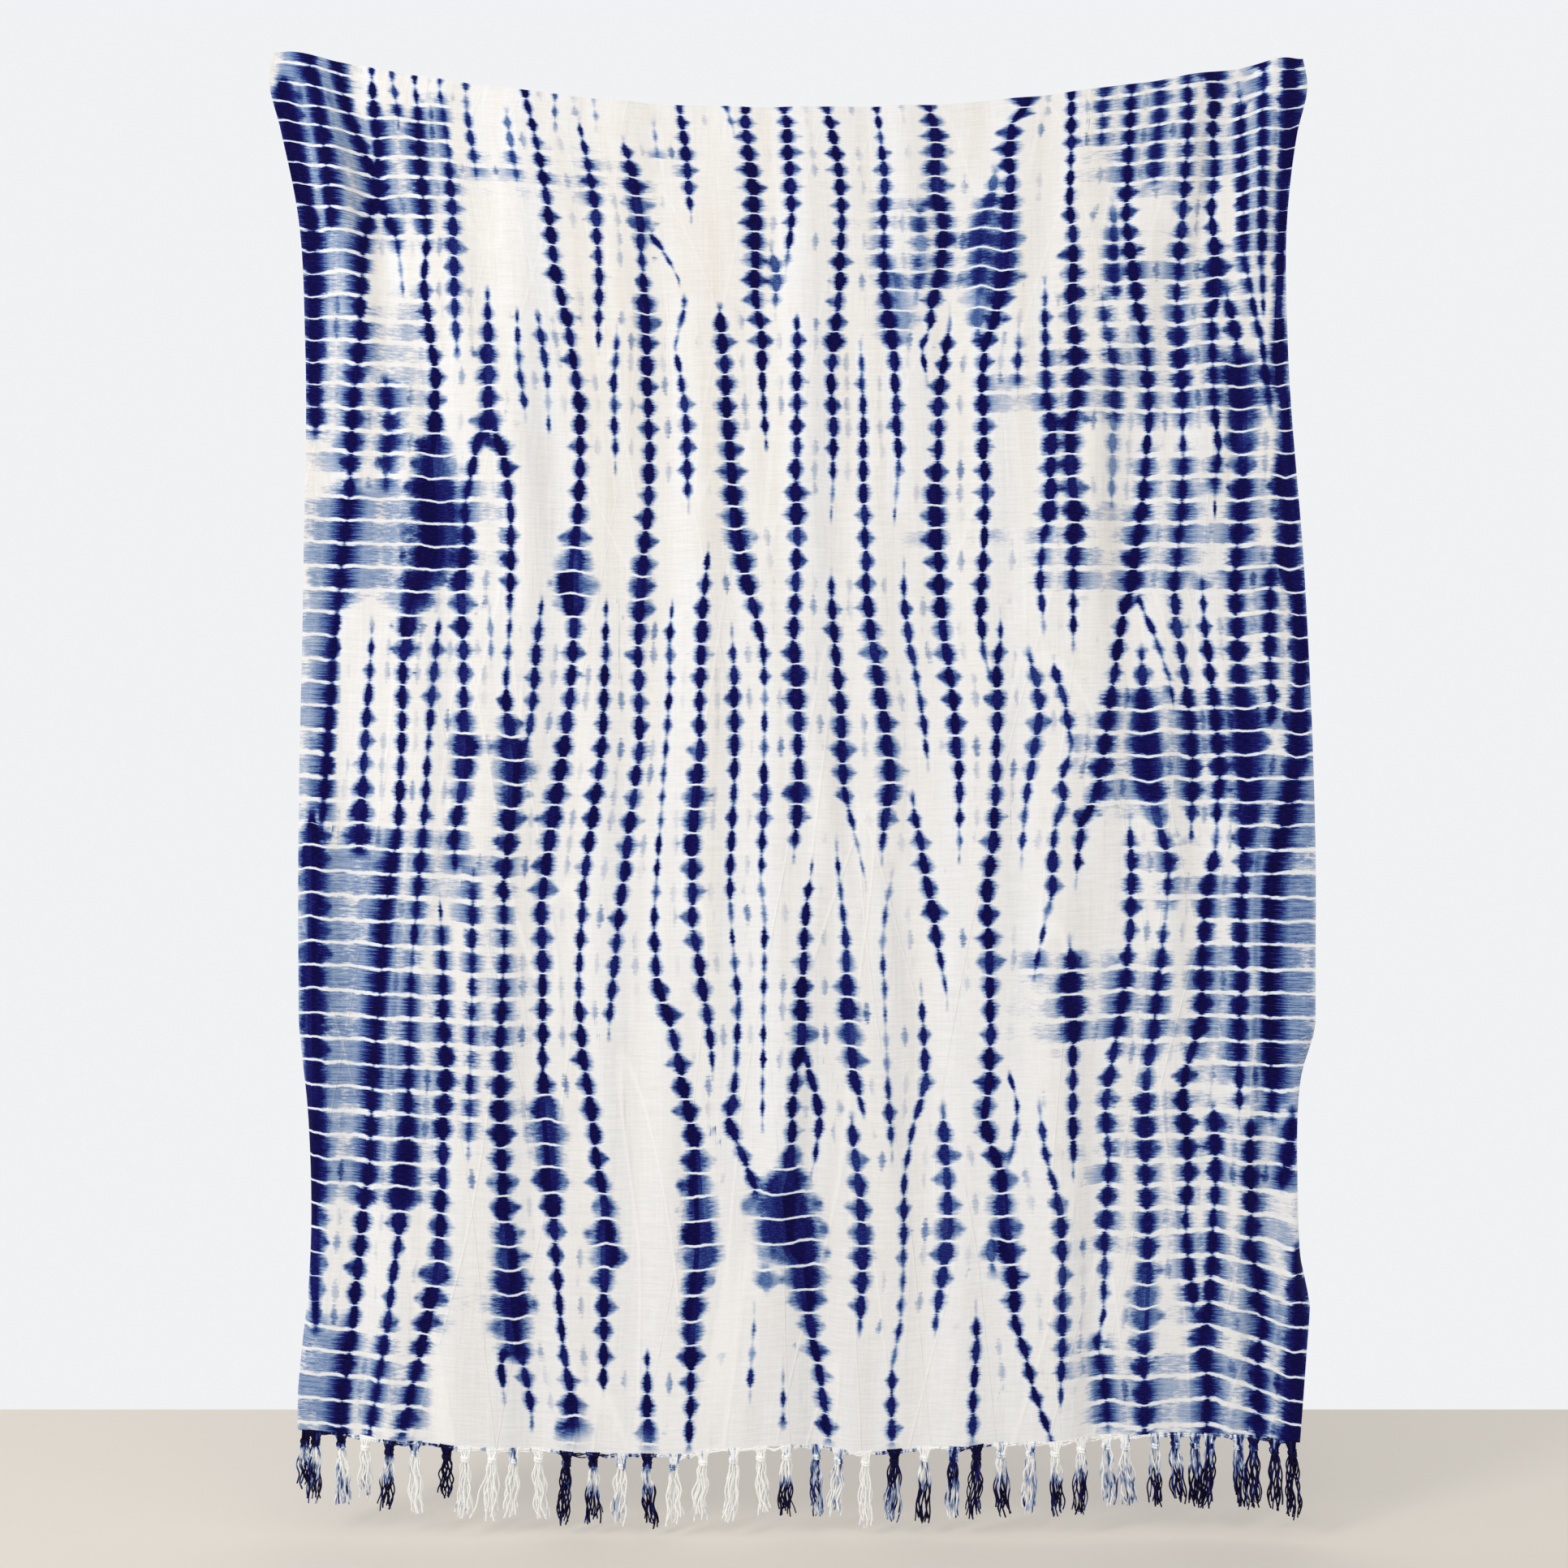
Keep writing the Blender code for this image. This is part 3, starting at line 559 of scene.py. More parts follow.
# %% Chart: right third
PLEATS_RIGHT = (
    Pleat(1.0, (
        (285, -12, 18), (289, 5, 11), (270, 14, 8), (270, 33, 13), (266, 58, 14), (269, 82, 10),
        (268, 108, 13), (266, 132, 17), (264, 157, 19), (261, 181, 20), (261, 209, 20), (253, 240, 15),
        (249, 268, 13), (237, 295, 11), (233, 349, 7), (236, 404, 12), (235, 428, 9), (237, 484, 9),
        (236, 545, 4), (234, 578, 11), (230, 634, 8), (236, 694, 4), (244, 706, 3),
    )),
    Pleat(0.6, (
        (250, 82, 6), (246, 108, 12), (240, 132, 17), (234, 157, 21), (232, 209, 24), (231, 240, 19),
        (229, 268, 15), (227, 292, 3),
    )),
    Pleat(1.0, (
        (256, 638, 1), (256, 666, 5), (251, 696, 10), (252, 753, 12), (251, 786, 6), (250, 841, 10),
        (248, 899, 10), (239, 980, 11), (241, 1032, 11), (242, 1061, 14), (243, 1149, 8), (242, 1207, 12),
        (236, 1267, 12), (245, 1297, 10), (258, 1332, 14), (261, 1400, 20), (268, 1432, 16),
        (271, 1459, 13), (274, 1516, 9), (285, 1549, 7), (297, 1601, 6), (322, 1672, 5),
    )),
    Pleat(0.9, ((266, 1206, 3), (277, 1239, 2), (276, 1271, 5), (271, 1300, 5), (262, 1325, 5))),
    Pleat(0.6, ((246, 1405, 6), (243, 1430, 14), (248, 1456, 5))),
    Pleat(0.8, ((279, 280, 2), (279, 291, 6), (278, 335, 5), (278, 352, 1))),
    Pleat(0.9, (
        (312, 222, 2), (312, 264, 7), (313, 317, 6), (314, 368, 8), (321, 397, 14), (319, 453, 11),
        (317, 508, 13), (308, 542, 4), (305, 594, 6), (310, 656, 2),
    )),
    Pleat(1.0, (
        (345, -20, 6), (344, 26, 9), (344, 72, 4), (342, 123, 8), (345, 146, 9), (347, 199, 13),
        (344, 260, 13), (349, 284, 11), (350, 366, 12), (342, 396, 16), (341, 452, 13), (349, 508, 15),
        (346, 539, 11), (346, 596, 5), (346, 654, 5), (346, 677, 1),
    )),
    Pleat(0.8, (
        (290, 672, 2), (292, 686, 6), (300, 714, 10), (306, 748, 10), (303, 776, 12), (297, 807, 10),
        (289, 860, 6), (282, 940, 2),
    )),
    Pleat(0.85, (
        (322, 698, 3), (326, 714, 10), (336, 746, 6), (340, 774, 8), (345, 799, 3), (330, 840, 7),
        (335, 868, 11), (323, 898, 5), (320, 949, 9), (321, 978, 8), (313, 1004, 4), (297, 1088, 2),
    )),
    Pleat(1.0, (
        (421, -30, 4), (418, 20, 7), (416, 66, 6), (414, 115, 9), (412, 139, 9), (415, 165, 10),
        (420, 195, 11), (423, 221, 12), (425, 250, 8), (434, 277, 7), (440, 331, 6), (443, 386, 7),
        (439, 439, 5), (434, 502, 9), (430, 531, 9), (424, 564, 12), (423, 594, 13), (412, 625, 10),
        (401, 689, 9), (391, 751, 10), (384, 810, 11), (374, 864, 14), (357, 893, 13), (354, 919, 8),
        (349, 972, 1),
    )),
    Pleat(0.6, ((396, 126, 6), (398, 165, 12), (398, 221, 12), (400, 237, 3))),
    Pleat(0.9, ((428, 606, 3), (433, 624, 4), (447, 655, 5), (467, 714, 3), (473, 748, 1))),
    Pleat(0.5, ((386, -26, 10), (383, 0, 8), (382, 38, 5), (382, 52, 1))),
    Pleat(0.5, ((382, 238, 2), (386, 281, 8), (398, 328, 8), (397, 387, 12), (395, 467, 8), (395, 497, 4))),
    Pleat(0.5, ((455, -34, 14), (456, -9, 10), (453, 31, 6), (449, 57, 12), (448, 81, 14), (448, 97, 3))),
    Pleat(0.85, (
        (489, -38, 3), (490, -9, 7), (489, 33, 8), (487, 81, 6), (484, 132, 10), (480, 188, 7),
        (478, 242, 4), (480, 269, 9), (481, 297, 13), (484, 351, 10), (485, 378, 4), (485, 433, 5),
        (484, 495, 7), (478, 560, 4), (473, 607, 8), (476, 643, 10), (487, 706, 9), (492, 741, 10),
        (498, 801, 8), (498, 856, 10), (496, 916, 2),
    )),
    Pleat(0.95, (
        (523, -62, 18), (523, -37, 20), (525, -17, 13), (524, 4, 9), (523, 25, 6), (527, 73, 5),
        (522, 124, 6), (526, 171, 11), (527, 194, 14), (528, 230, 17), (521, 257, 6), (523, 346, 4),
        (524, 374, 6), (531, 428, 6), (527, 462, 3), (526, 507, 1),
    )),
    Pleat(0.95, ((540, 235, 4), (545, 261, 10), (551, 286, 10), (552, 302, 3))),
    Pleat(1.0, (
        (558, -12, 4), (560, 194, 4), (569, 230, 4), (574, 258, 4), (582, 286, 4), (585, 315, 3),
        (592, 366, 6), (594, 385, 2),
    )),
    Pleat(0.9, ((580, -78, 12), (584, -51, 9), (586, -31, 6), (582, -6, 5), (582, 191, 4), (585, 253, 2))),
    Pleat(0.9, (
        (557, 305, 20), (557, 315, 27), (560, 371, 24), (561, 426, 18), (561, 455, 13), (557, 519, 13),
        (554, 550, 9), (552, 584, 9), (554, 674, 10), (555, 707, 13), (560, 741, 20), (564, 769, 23),
        (565, 830, 21), (564, 886, 17), (561, 912, 12), (559, 965, 7), (557, 1022, 5), (559, 1081, 10),
        (554, 1142, 8), (554, 1195, 4), (555, 1231, 8), (554, 1257, 1),
    )),
    Pleat(1.0, (
        (510, 596, 2), (512, 646, 6), (517, 676, 9), (525, 744, 8), (533, 832, 10), (530, 857, 5),
        (527, 917, 4), (523, 942, 9), (517, 968, 11), (513, 999, 9), (510, 1056, 7), (510, 1120, 9),
        (508, 1150, 9), (495, 1180, 9), (489, 1205, 12), (484, 1239, 10), (489, 1269, 12), (493, 1330, 10),
        (490, 1361, 7), (488, 1394, 3), (493, 1459, 8), (498, 1485, 12), (498, 1502, 2),
    )),
    Pleat(0.9, ((593, 572, 3), (593, 584, 7), (592, 643, 7), (592, 708, 6), (596, 741, 8), (592, 769, 3))),
    Pleat(1.0, (
        (619, -70, 9), (617, -33, 9), (619, -12, 13), (617, 9, 12), (614, 63, 11), (610, 114, 9),
        (607, 169, 7), (605, 227, 7), (603, 256, 9), (605, 310, 14), (604, 341, 14), (612, 369, 11),
        (615, 428, 14), (612, 457, 16), (616, 491, 18), (618, 553, 21), (617, 581, 23), (629, 612, 14),
        (631, 646, 13), (632, 710, 13), (630, 777, 16), (630, 806, 17), (621, 837, 10), (617, 862, 8),
        (611, 889, 9), (605, 914, 6), (597, 942, 4), (593, 968, 4), (590, 1080, 3), (594, 1177, 5),
        (596, 1208, 7), (597, 1267, 3),
    )),
    Pleat(0.95, ((619, 1252, 3), (620, 1270, 8), (615, 1298, 9), (611, 1330, 8), (606, 1347, 3))),
    Pleat(1.0, (
        (625, 1416, 5), (628, 1456, 11), (627, 1487, 13), (625, 1527, 16), (623, 1578, 17), (621, 1628, 19),
        (616, 1665, 16),
    )),
    Pleat(0.8, (
        (433, 672, 2), (433, 687, 7), (435, 717, 11), (435, 746, 14), (435, 776, 20), (437, 806, 24),
        (439, 834, 22), (446, 862, 17), (452, 890, 15), (460, 914, 10), (466, 942, 8), (466, 968, 7),
        (464, 994, 2), (459, 1045, 7), (448, 1150, 6), (446, 1167, 7), (441, 1198, 12), (437, 1259, 13),
        (437, 1291, 16), (438, 1322, 10), (441, 1389, 9), (440, 1454, 16), (438, 1483, 19), (437, 1509, 20),
        (436, 1539, 14), (436, 1569, 13), (436, 1591, 6), (437, 1611, 14), (437, 1660, 9),
    )),
    Pleat(0.85, (
        (419, 884, 1), (419, 901, 4), (421, 950, 9), (421, 979, 9), (419, 1031, 8), (416, 1058, 7),
        (413, 1090, 12), (409, 1120, 9), (404, 1149, 8), (399, 1177, 6), (395, 1204, 9), (388, 1234, 13),
        (388, 1265, 8), (393, 1327, 6), (388, 1390, 9), (387, 1455, 8), (386, 1511, 3), (378, 1544, 4),
        (388, 1598, 6), (392, 1655, 3),
    )),
    Pleat(0.95, (
        (341, 1033, 2), (341, 1048, 5), (345, 1079, 15), (344, 1109, 18), (346, 1137, 15), (346, 1167, 9),
        (345, 1227, 8), (345, 1259, 9), (346, 1287, 8), (346, 1332, 1),
    )),
    Pleat(0.85, (
        (304, 1248, 2), (308, 1288, 6), (314, 1320, 4), (324, 1350, 6), (330, 1382, 14), (332, 1447, 8),
        (332, 1503, 12), (332, 1531, 11), (331, 1558, 8), (330, 1612, 2),
    )),
    Pleat(0.9, (
        (523, 1248, 4), (523, 1268, 15), (526, 1298, 11), (525, 1361, 6), (523, 1394, 5), (522, 1431, 8),
        (518, 1490, 8), (513, 1521, 12), (510, 1549, 14), (513, 1575, 9), (517, 1598, 9), (514, 1660, 6),
    )),
    Pleat(1.0, (
        (569, 1262, 3), (569, 1273, 7), (568, 1332, 12), (570, 1366, 11), (569, 1431, 9), (582, 1461, 10),
        (579, 1493, 9), (588, 1523, 5), (578, 1554, 9), (580, 1611, 10), (579, 1660, 12),
    )),
)
PLEATS = PLEATS_LEFT + PLEATS_MIDDLE + PLEATS_RIGHT
print("pleats charted in all:", len(PLEATS))

# %% [markdown]
# ## Chart the washes
#
# Towards the selvedges the dye also ran along the weft, in paler bars from binding to binding. Those have
# soft ends, so a wash is only a place, a size and a tone, and the finish breaks it up into bars.

# %% Wash chart
Wash = namedtuple("Wash", "x_mm down_mm half_width_mm half_height_mm tone")
WASHES = (
    Wash(-600, 60, 50, 150, 0.72), Wash(-575, 165, 42, 90, 0.60), Wash(-505, 80, 70, 85, 0.56),
    Wash(-330, 84, 190, 30, 0.20), Wash(-545, 350, 76, 110, 0.46), Wash(-535, 545, 90, 75, 0.64),
    Wash(-600, 740, 26, 150, 0.54), Wash(-540, 1085, 55, 185, 0.70), Wash(-455, 950, 60, 60, 0.36),
    Wash(-465, 1150, 55, 75, 0.48), Wash(-540, 1310, 90, 60, 0.60), Wash(-590, 1595, 38, 75, 0.74),
    Wash(-520, 1590, 70, 70, 0.42), Wash(-390, 1500, 60, 40, 0.22), Wash(-400, 520, 45, 60, 0.28),
    Wash(110, 160, 35, 50, 0.20), Wash(200, 170, 70, 60, 0.30), Wash(275, 358, 48, 26, 0.26),
    Wash(200, 535, 90, 14, 0.12), Wash(480, 0, 110, 110, 0.42), Wash(578, 90, 34, 110, 0.58),
    Wash(622, 0, 24, 90, 0.66), Wash(475, 240, 110, 80, 0.36), Wash(450, 342, 150, 48, 0.42),
    Wash(480, 480, 60, 50, 0.42), Wash(460, 555, 150, 55, 0.40), Wash(585, 640, 48, 200, 0.46),
    Wash(500, 800, 130, 75, 0.54), Wash(610, 1030, 46, 220, 0.80), Wash(556, 1080, 50, 130, 0.56),
    Wash(430, 1115, 140, 60, 0.44), Wash(460, 960, 50, 40, 0.30), Wash(-415, 1090, 72, 200, 0.34),
    Wash(480, 1330, 110, 110, 0.32), Wash(420, 1340, 70, 40, 0.26), Wash(560, 1540, 85, 160, 0.54),
    Wash(450, 1600, 100, 60, 0.46), Wash(600, 1330, 30, 90, 0.50),
)
print("washes charted:", len(WASHES))

# %% [markdown]
# ## Carry the chart on the cloth
#
# A picture would hold the pattern too, but it would blur. Instead each grid point carries how far it is from
# its nearest pleat, how wide the beads are there, and how deep the dye is. Distances change evenly from point
# to point, so the finish can draw a sharp bead between them. Two pleats that come close can't share one
# carrier, so each goes to the first layer where it has room.

# %% Share the pleats over layers
MM = 0.001
LAYERS = 5
SOFT_REACH = 6.0 * MM  # beyond a bead's half-width the dye is still let in this far
FADE_REACH = 5.0 * MM  # and is faded out over this much more
END_FADE = 6.0 * MM
WIDE_GAP = 45.0 * MM  # between pleats further apart than twice this, a wash lies evenly
TOP_ROW = 24.0 * MM  # a pleat that starts this near the top edge is cut by it
END_KEEP = 26.0 * MM  # grid points this far past an end still belong to the pleat


def pleat_at(pleat, down):
    """Place across and half-width of a pleat at many heights, and how far past its ends they lie."""
    marks = np.array(pleat.marks) * MM
    x = np.interp(down, marks[:, 1], marks[:, 0])
    half = np.interp(down, marks[:, 1], marks[:, 2])
    top_edge = -SAG * (marks[0, 0] / (EDGES[0].right - EDGES[0].left) * 2) ** 2
    starts = marks[0, 1] if marks[0, 1] > top_edge + TOP_ROW else -1.0
    past_end = np.maximum(np.maximum(starts - down, down - marks[-1, 1]), 0.0)
    return x, half, past_end


heights = np.arange(-0.080, 1.680, 0.005)
layer_members = [[] for _ in range(LAYERS)]
crowded = 0
for pleat in PLEATS:
    x, half, past_end = pleat_at(pleat, heights)
    rooms = []
    for members in layer_members:
        room = 1.0
        for other in members:
            other_x, other_half, other_past = pleat_at(other, heights)
            both = (past_end < END_KEEP) & (other_past < END_KEEP)
            if both.any():
                apart = np.abs(x - other_x) - half - other_half - 2 * (SOFT_REACH + FADE_REACH)
                room = min(room, float(apart[both].min()))
        rooms.append(room)
    free = [k for k, room in enumerate(rooms) if room > 0]
    crowded += not free
    layer_members[free[0] if free else int(np.argmax(rooms))].append(pleat)
print("pleats in each layer:", [len(members) for members in layer_members], "crowded:", crowded)

# %% Write the layers on the grid points
PEAK = 0.11  # of a row: how far the rows rise or dip at a pleat
PEAK_REACH = 14 * MM


def carry(mesh, name, values, kind="FLOAT"):
    """Writes one value, or one vector, on each point of a mesh, where a finish can read it."""
    carrier = mesh.attributes.new(name, kind, "POINT")
    carrier.data.foreach_set("vector" if kind == "FLOAT_VECTOR" else "value", np.ravel(values))


down = -hung_z
bend_of_rows = np.zeros(len(points))
to_left = np.full(len(points), WIDE_GAP)
to_right = np.full(len(points), WIDE_GAP)
for number, members in enumerate(layer_members):
    best = np.full(len(points), 9.0)
    distance = np.full(len(points), 1.0)
    half_width = np.full(len(points), 5 * MM)
    tone = np.zeros(len(points))
    for pleat in members:
        x, half, past_end = pleat_at(pleat, down)
        away = hung_x - x
        runs = np.clip(1 - past_end / END_FADE, 0.0, 1.0)
        cost = np.abs(away) - half + 3 * np.maximum(past_end - END_KEEP, 0.0)
        nearest = cost < best
        best = np.where(nearest, cost, best)
        fade = np.clip((half + SOFT_REACH + FADE_REACH - np.abs(away)) / FADE_REACH, 0.0, 1.0)
        distance = np.where(nearest, away, distance)
        half_width = np.where(nearest, half, half_width)
        tone = np.where(nearest, pleat.tone * runs * fade, tone)
        beside = (past_end <= 0.0) & (half > 2 * MM)
        to_left = np.where(beside & (away >= 0.0), np.minimum(to_left, away), to_left)
        to_right = np.where(beside & (away < 0.0), np.minimum(to_right, -away), to_right)
        peak = math.sin(2.3 * PLEATS.index(pleat)) * PEAK
        weight = np.clip(half / (10 * MM), 0.3, 1.3)
        bend_of_rows += peak * runs * np.exp(-((away / PEAK_REACH) ** 2)) * weight
    layer = np.stack([distance, half_width, tone], axis=1)
    carry(gauze_sheet.data, f"pleats {number}", layer, "FLOAT_VECTOR")
print("rows bend by up to", round(float(np.abs(bend_of_rows).max()), 2), "of a row at the pleats")

# %% Write the washes and the rows
FIRST_ROW_CUT = 0.4  # the turned top edge takes this much of the first row
CORNER_PULL = 0.75  # rows that the lower right selvedge is pulled down
NO_BEAD = 30 * MM  # so far from the line halfway between two pleats there is no faint bead
NARROWEST = 15 * MM  # half the gap between two pleats that can hold a row of faint beads,
WIDEST = 38 * MM  # and half the gap that is too wide for one
wash_tone = np.zeros(len(points))
for wash in WASHES:
    across_it = np.abs(hung_x - wash.x_mm * MM) / (wash.half_width_mm * MM)
    down_it = np.abs(down - wash.down_mm * MM) / (wash.half_height_mm * MM)
    inside = np.clip((1.25 - across_it) / 0.5, 0.0, 1.0) * np.clip((1.2 - down_it) / 0.4, 0.0, 1.0)
    wash_tone = np.maximum(wash_tone, wash.tone * inside)
half_gap = np.clip((to_left + to_right) / 2, 8 * MM, WIDE_GAP)
between = np.clip(np.minimum(to_left, to_right) / half_gap, 0.0, 1.0)
tilted = np.clip((hung_x - 0.515) / 0.10, 0.0, 1.0) ** 1.5 * np.clip((down - 1.25) / 0.25, 0.0, 1.0)
bend_of_rows -= CORNER_PULL * tilted
halfway = np.abs(to_left - to_right) / 2 + np.where(half_gap < WIDEST, 0.0, NO_BEAD)
halfway += np.where(half_gap < NARROWEST, NO_BEAD, 0.0)
carry(gauze_sheet.data, "wash", wash_tone)
carry(gauze_sheet.data, "between pleats", between)
carry(gauze_sheet.data, "halfway between pleats", np.minimum(halfway, NO_BEAD))
carry(gauze_sheet.data, "rows", row + FIRST_ROW_CUT + bend_of_rows)
print("deepest wash:", round(float(wash_tone.max()), 2))

# %% [markdown]
# ## Give the gauze its thickness
#
# So far the sheet has no thickness. A second face is built behind it and the rims are closed, as the loft of
# the yarns does on the real cloth. This comes after the chart is written, so the back carries the same dye,
# which went through the cloth.

# %% Thickness
GAUZE_THICKNESS = 0.9 * MM
deselect_all()
gauze_sheet.select_set(True)
bpy.context.view_layer.objects.active = gauze_sheet
thicken = gauze_sheet.modifiers.new("loft of the yarns", "SOLIDIFY")
thicken.thickness = GAUZE_THICKNESS
thicken.offset = -1.0
bpy.ops.object.modifier_apply(modifier=thicken.name)
bpy.ops.object.shade_smooth_by_angle(angle=math.radians(60))
print("cloth triangles:", sum(len(p.vertices) - 2 for p in gauze_sheet.data.polygons))

# %% [markdown]
# ## Mix the dye
#
# Cotton and dye both follow the threads, so each grain of this finish is a noise that is stretched along the
# weft or the warp. All of them are laid out on the flat cloth, in metres, through the sheet's own UV map. The
# comb matters most: dye bleeds along single wefts, and so the edge of every bead is combed sideways. The step
# between two white lines is one row, and no row runs quite straight, because a hand bound it.

# %% Gauze: grains along the threads
gauze = bpy.data.materials.new("indigo resist-dyed cotton gauze, plain weave")
gauze.use_nodes = True
tree = gauze.node_tree
cloth_shader = tree.nodes["Principled BSDF"]

CLOTH_WIDTH = 1.27
CLOTH_LENGTH = 1.75
uv = add_node(tree, "UVMap")
flat = add_node(tree, "VectorMath", {0: uv, 1: (CLOTH_WIDTH, CLOTH_LENGTH, 1.0)}, operation="MULTIPLY")
flat_x, flat_y, _ = add_node(tree, "SeparateXYZ", {0: flat}).node.outputs

# weft and warp: how many steps of the grain there are to a metre along each
Grain = namedtuple("Grain", "name weft warp detail roughness distortion", defaults=(0.5, 0.0))
GRAINS = (
    Grain("wander", 9.0, 14.0, 3.0),  # of a bound row
    Grain("tremble", 46.0, 22.0, 2.0),  # of its thread
    Grain("comb", 78.0, 340.0, 4.0, 0.68),  # dye that bled on along single wefts
    Grain("streak", 26.0, 640.0, 3.0),  # darker and paler wefts in a wash
    # paler specks in the dye: partly threads that took less dye, partly painted light showing through the
    # gaps of the open weave
    Grain("speck_and_see_through_light", 420.0, 620.0, 2.0, 0.7),  # spots that took less dye
    Grain("heather", 120.0, 900.0, 2.0, 0.8),  # short lengths of yarn that took more or less
    Grain("pleat shade", 24.0, 1.1, 2.0),  # warmer bands that run down the cloth
    Grain("slub", 24.0, 430.0, 4.0, 0.65),  # thick places of the wefts
    Grain("warp line", 330.0, 16.0, 3.0),  # thick places of the warps
    Grain("crease", 75.0, 7.0, 3.0, 0.5, 0.6),  # soft creases where the pleats were
)
grains = {}
for grain in GRAINS:
    laid = add_node(tree, "VectorMath", {0: flat, 1: (grain.weft, grain.warp, 1.0)}, operation="MULTIPLY")
    look = {"Detail": grain.detail, "Roughness": grain.roughness, "Distortion": grain.distortion}
    grains[grain.name] = add_node(tree, "TexNoise", {"Vector": laid, "Scale": 1.0, **look})
comb = add_node(tree, "Math", {0: grains["comb"], 1: 0.5}, operation="SUBTRACT")
print("grains:", list(grains))

# %% Gauze: bound rows
WANDER = 0.26  # of a row
TREMBLE = 0.20
ROW_IN_MM = 28.0
LINE_COMBED = 3.2  # mm that the dye bleeds over a white line, or stays short of it
row_number = add_node(tree, "Attribute", attribute_name="rows", out="Fac")
strays = add_node(tree, "Math", {0: grains["wander"], 1: WANDER, 2: -WANDER / 2}, operation="MULTIPLY_ADD")
strays = add_node(tree, "Math", {0: grains["tremble"], 1: TREMBLE, 2: strays}, operation="MULTIPLY_ADD")
rows_here = add_node(tree, "Math", {0: row_number, 1: strays}, operation="ADD")
rows_here = add_node(tree, "Math", {0: rows_here, 1: TREMBLE / 2}, operation="SUBTRACT")
row_share = add_node(tree, "Math", {0: rows_here}, operation="FRACT")
row_index = add_node(tree, "Math", {0: rows_here}, operation="FLOOR")
from_middle = add_node(tree, "Math", {0: row_share, 1: 2.0, 2: -1.0}, operation="MULTIPLY_ADD")
from_middle = add_node(tree, "Math", {0: from_middle}, operation="ABSOLUTE")
from_line = add_node(tree, "Math", {0: 1.0, 1: from_middle}, operation="SUBTRACT")
line_mm = add_node(tree, "Math", {0: from_line, 1: ROW_IN_MM / 2}, operation="MULTIPLY")
combed_line = add_node(tree, "Math", {0: comb, 1: LINE_COMBED, 2: line_mm}, operation="MULTIPLY_ADD")
print("nodes up to the rows:", len(tree.nodes))

# %% [markdown]
# ## Draw the beads
#
# A bead is where the edge of a pleat stood out between two bindings and took the dye. It fills its row like a
# barrel or a lozenge, some with pointed side tips. It is darkest along the fold, which shows as a spine. Its
# heart is nearly black and its rim a clear blue. No two beads took the dye alike, so a chance that changes
# from bead to bead sets how wide, how round and how dark each is. Thin pleats break up into small beads that
# fail now and then. Wide beads are paler on the side that lay inside the bundle. At the selvedges a pleat is
# a straight band.

# %% Gauze: shapes and chances of a bead
barrel = add_node(tree, "Math", {0: from_middle, 1: 3.2}, operation="POWER")
barrel = add_node(tree, "Math", {0: 1.0, 1: barrel}, operation="SUBTRACT")
lozenge = add_node(tree, "Math", {0: from_line, 1: 0.80}, operation="POWER")
wing_shape = add_node(tree, "Math", {0: lozenge, 1: 2.6}, operation="POWER")
bead_x = add_node(tree, "Math", {0: flat_x, 1: 34.0}, operation="MULTIPLY")
bead_row = add_node(tree, "Math", {0: row_index, 1: 5.17}, operation="MULTIPLY")
from_centre = add_node(tree, "Math", {0: flat_x, 1: CLOTH_WIDTH / 2}, operation="SUBTRACT")
from_centre = add_node(tree, "Math", {0: from_centre}, operation="ABSOLUTE")
at_selvedge = add_node(tree, "MapRange", {0: from_centre, 1: 0.586, 2: 0.602, 3: 0.0, 4: 0.92})

# sockets of a range: it runs from 1 to 2, and what comes out from 3 to 4. These start from a chance:
SWELL = {1: 0.3, 2: 0.7, 3: 0.70, 4: 1.05}  # half-width of a bead, against the charted one
LEAN = {1: 0.3, 2: 0.7, 3: -0.09, 4: 0.09}  # how far its heart stands off the fold, in half-widths
ROUNDNESS = {1: 0.42, 2: 0.66, 3: 0.0, 4: 0.75}  # from lozenge to barrel
WING = {1: 0.36, 2: 0.52, 3: 0.75, 4: 0.0}  # how far side tips reach, in half-widths
HEART_TONE = {1: 0.36, 2: 0.60, 3: 0.16, 4: 0.46}  # how much darker the heart is than the rim
STRENGTH = {1: 0.38, 2: 0.58, 3: 0.86, 4: 1.14}  # how well a bead took the dye
LUCK = {1: 0.38, 2: 0.56, 3: 0.30, 4: 1.25}  # how well a small bead took it
# and these from a half-width:
NECK = {1: 4 * MM, 2: 20 * MM, 3: -0.5, 4: 0.78}  # how thick a pleat stays between two beads
SMALL = {1: 2.5 * MM, 2: 7.0 * MM, 3: 0.85, 4: 0.0}  # how much a bead counts as a small one
PALER_SIDE = {1: 13 * MM, 2: 20 * MM, 3: 0.0, 4: -0.18}
GAP = {1: 5 * MM, 2: 16 * MM, 3: -0.9, 4: 0.7}  # mm from the binding to the dye
GAP_FADE = 1.5  # mm over which the dye then sets in
RIM_TONE = 0.62
SPINE_TONE = 0.28
SPINE_FADE = 2.4 * MM
print("a bead is", SWELL[3], "to", SWELL[4], "times as wide as charted")

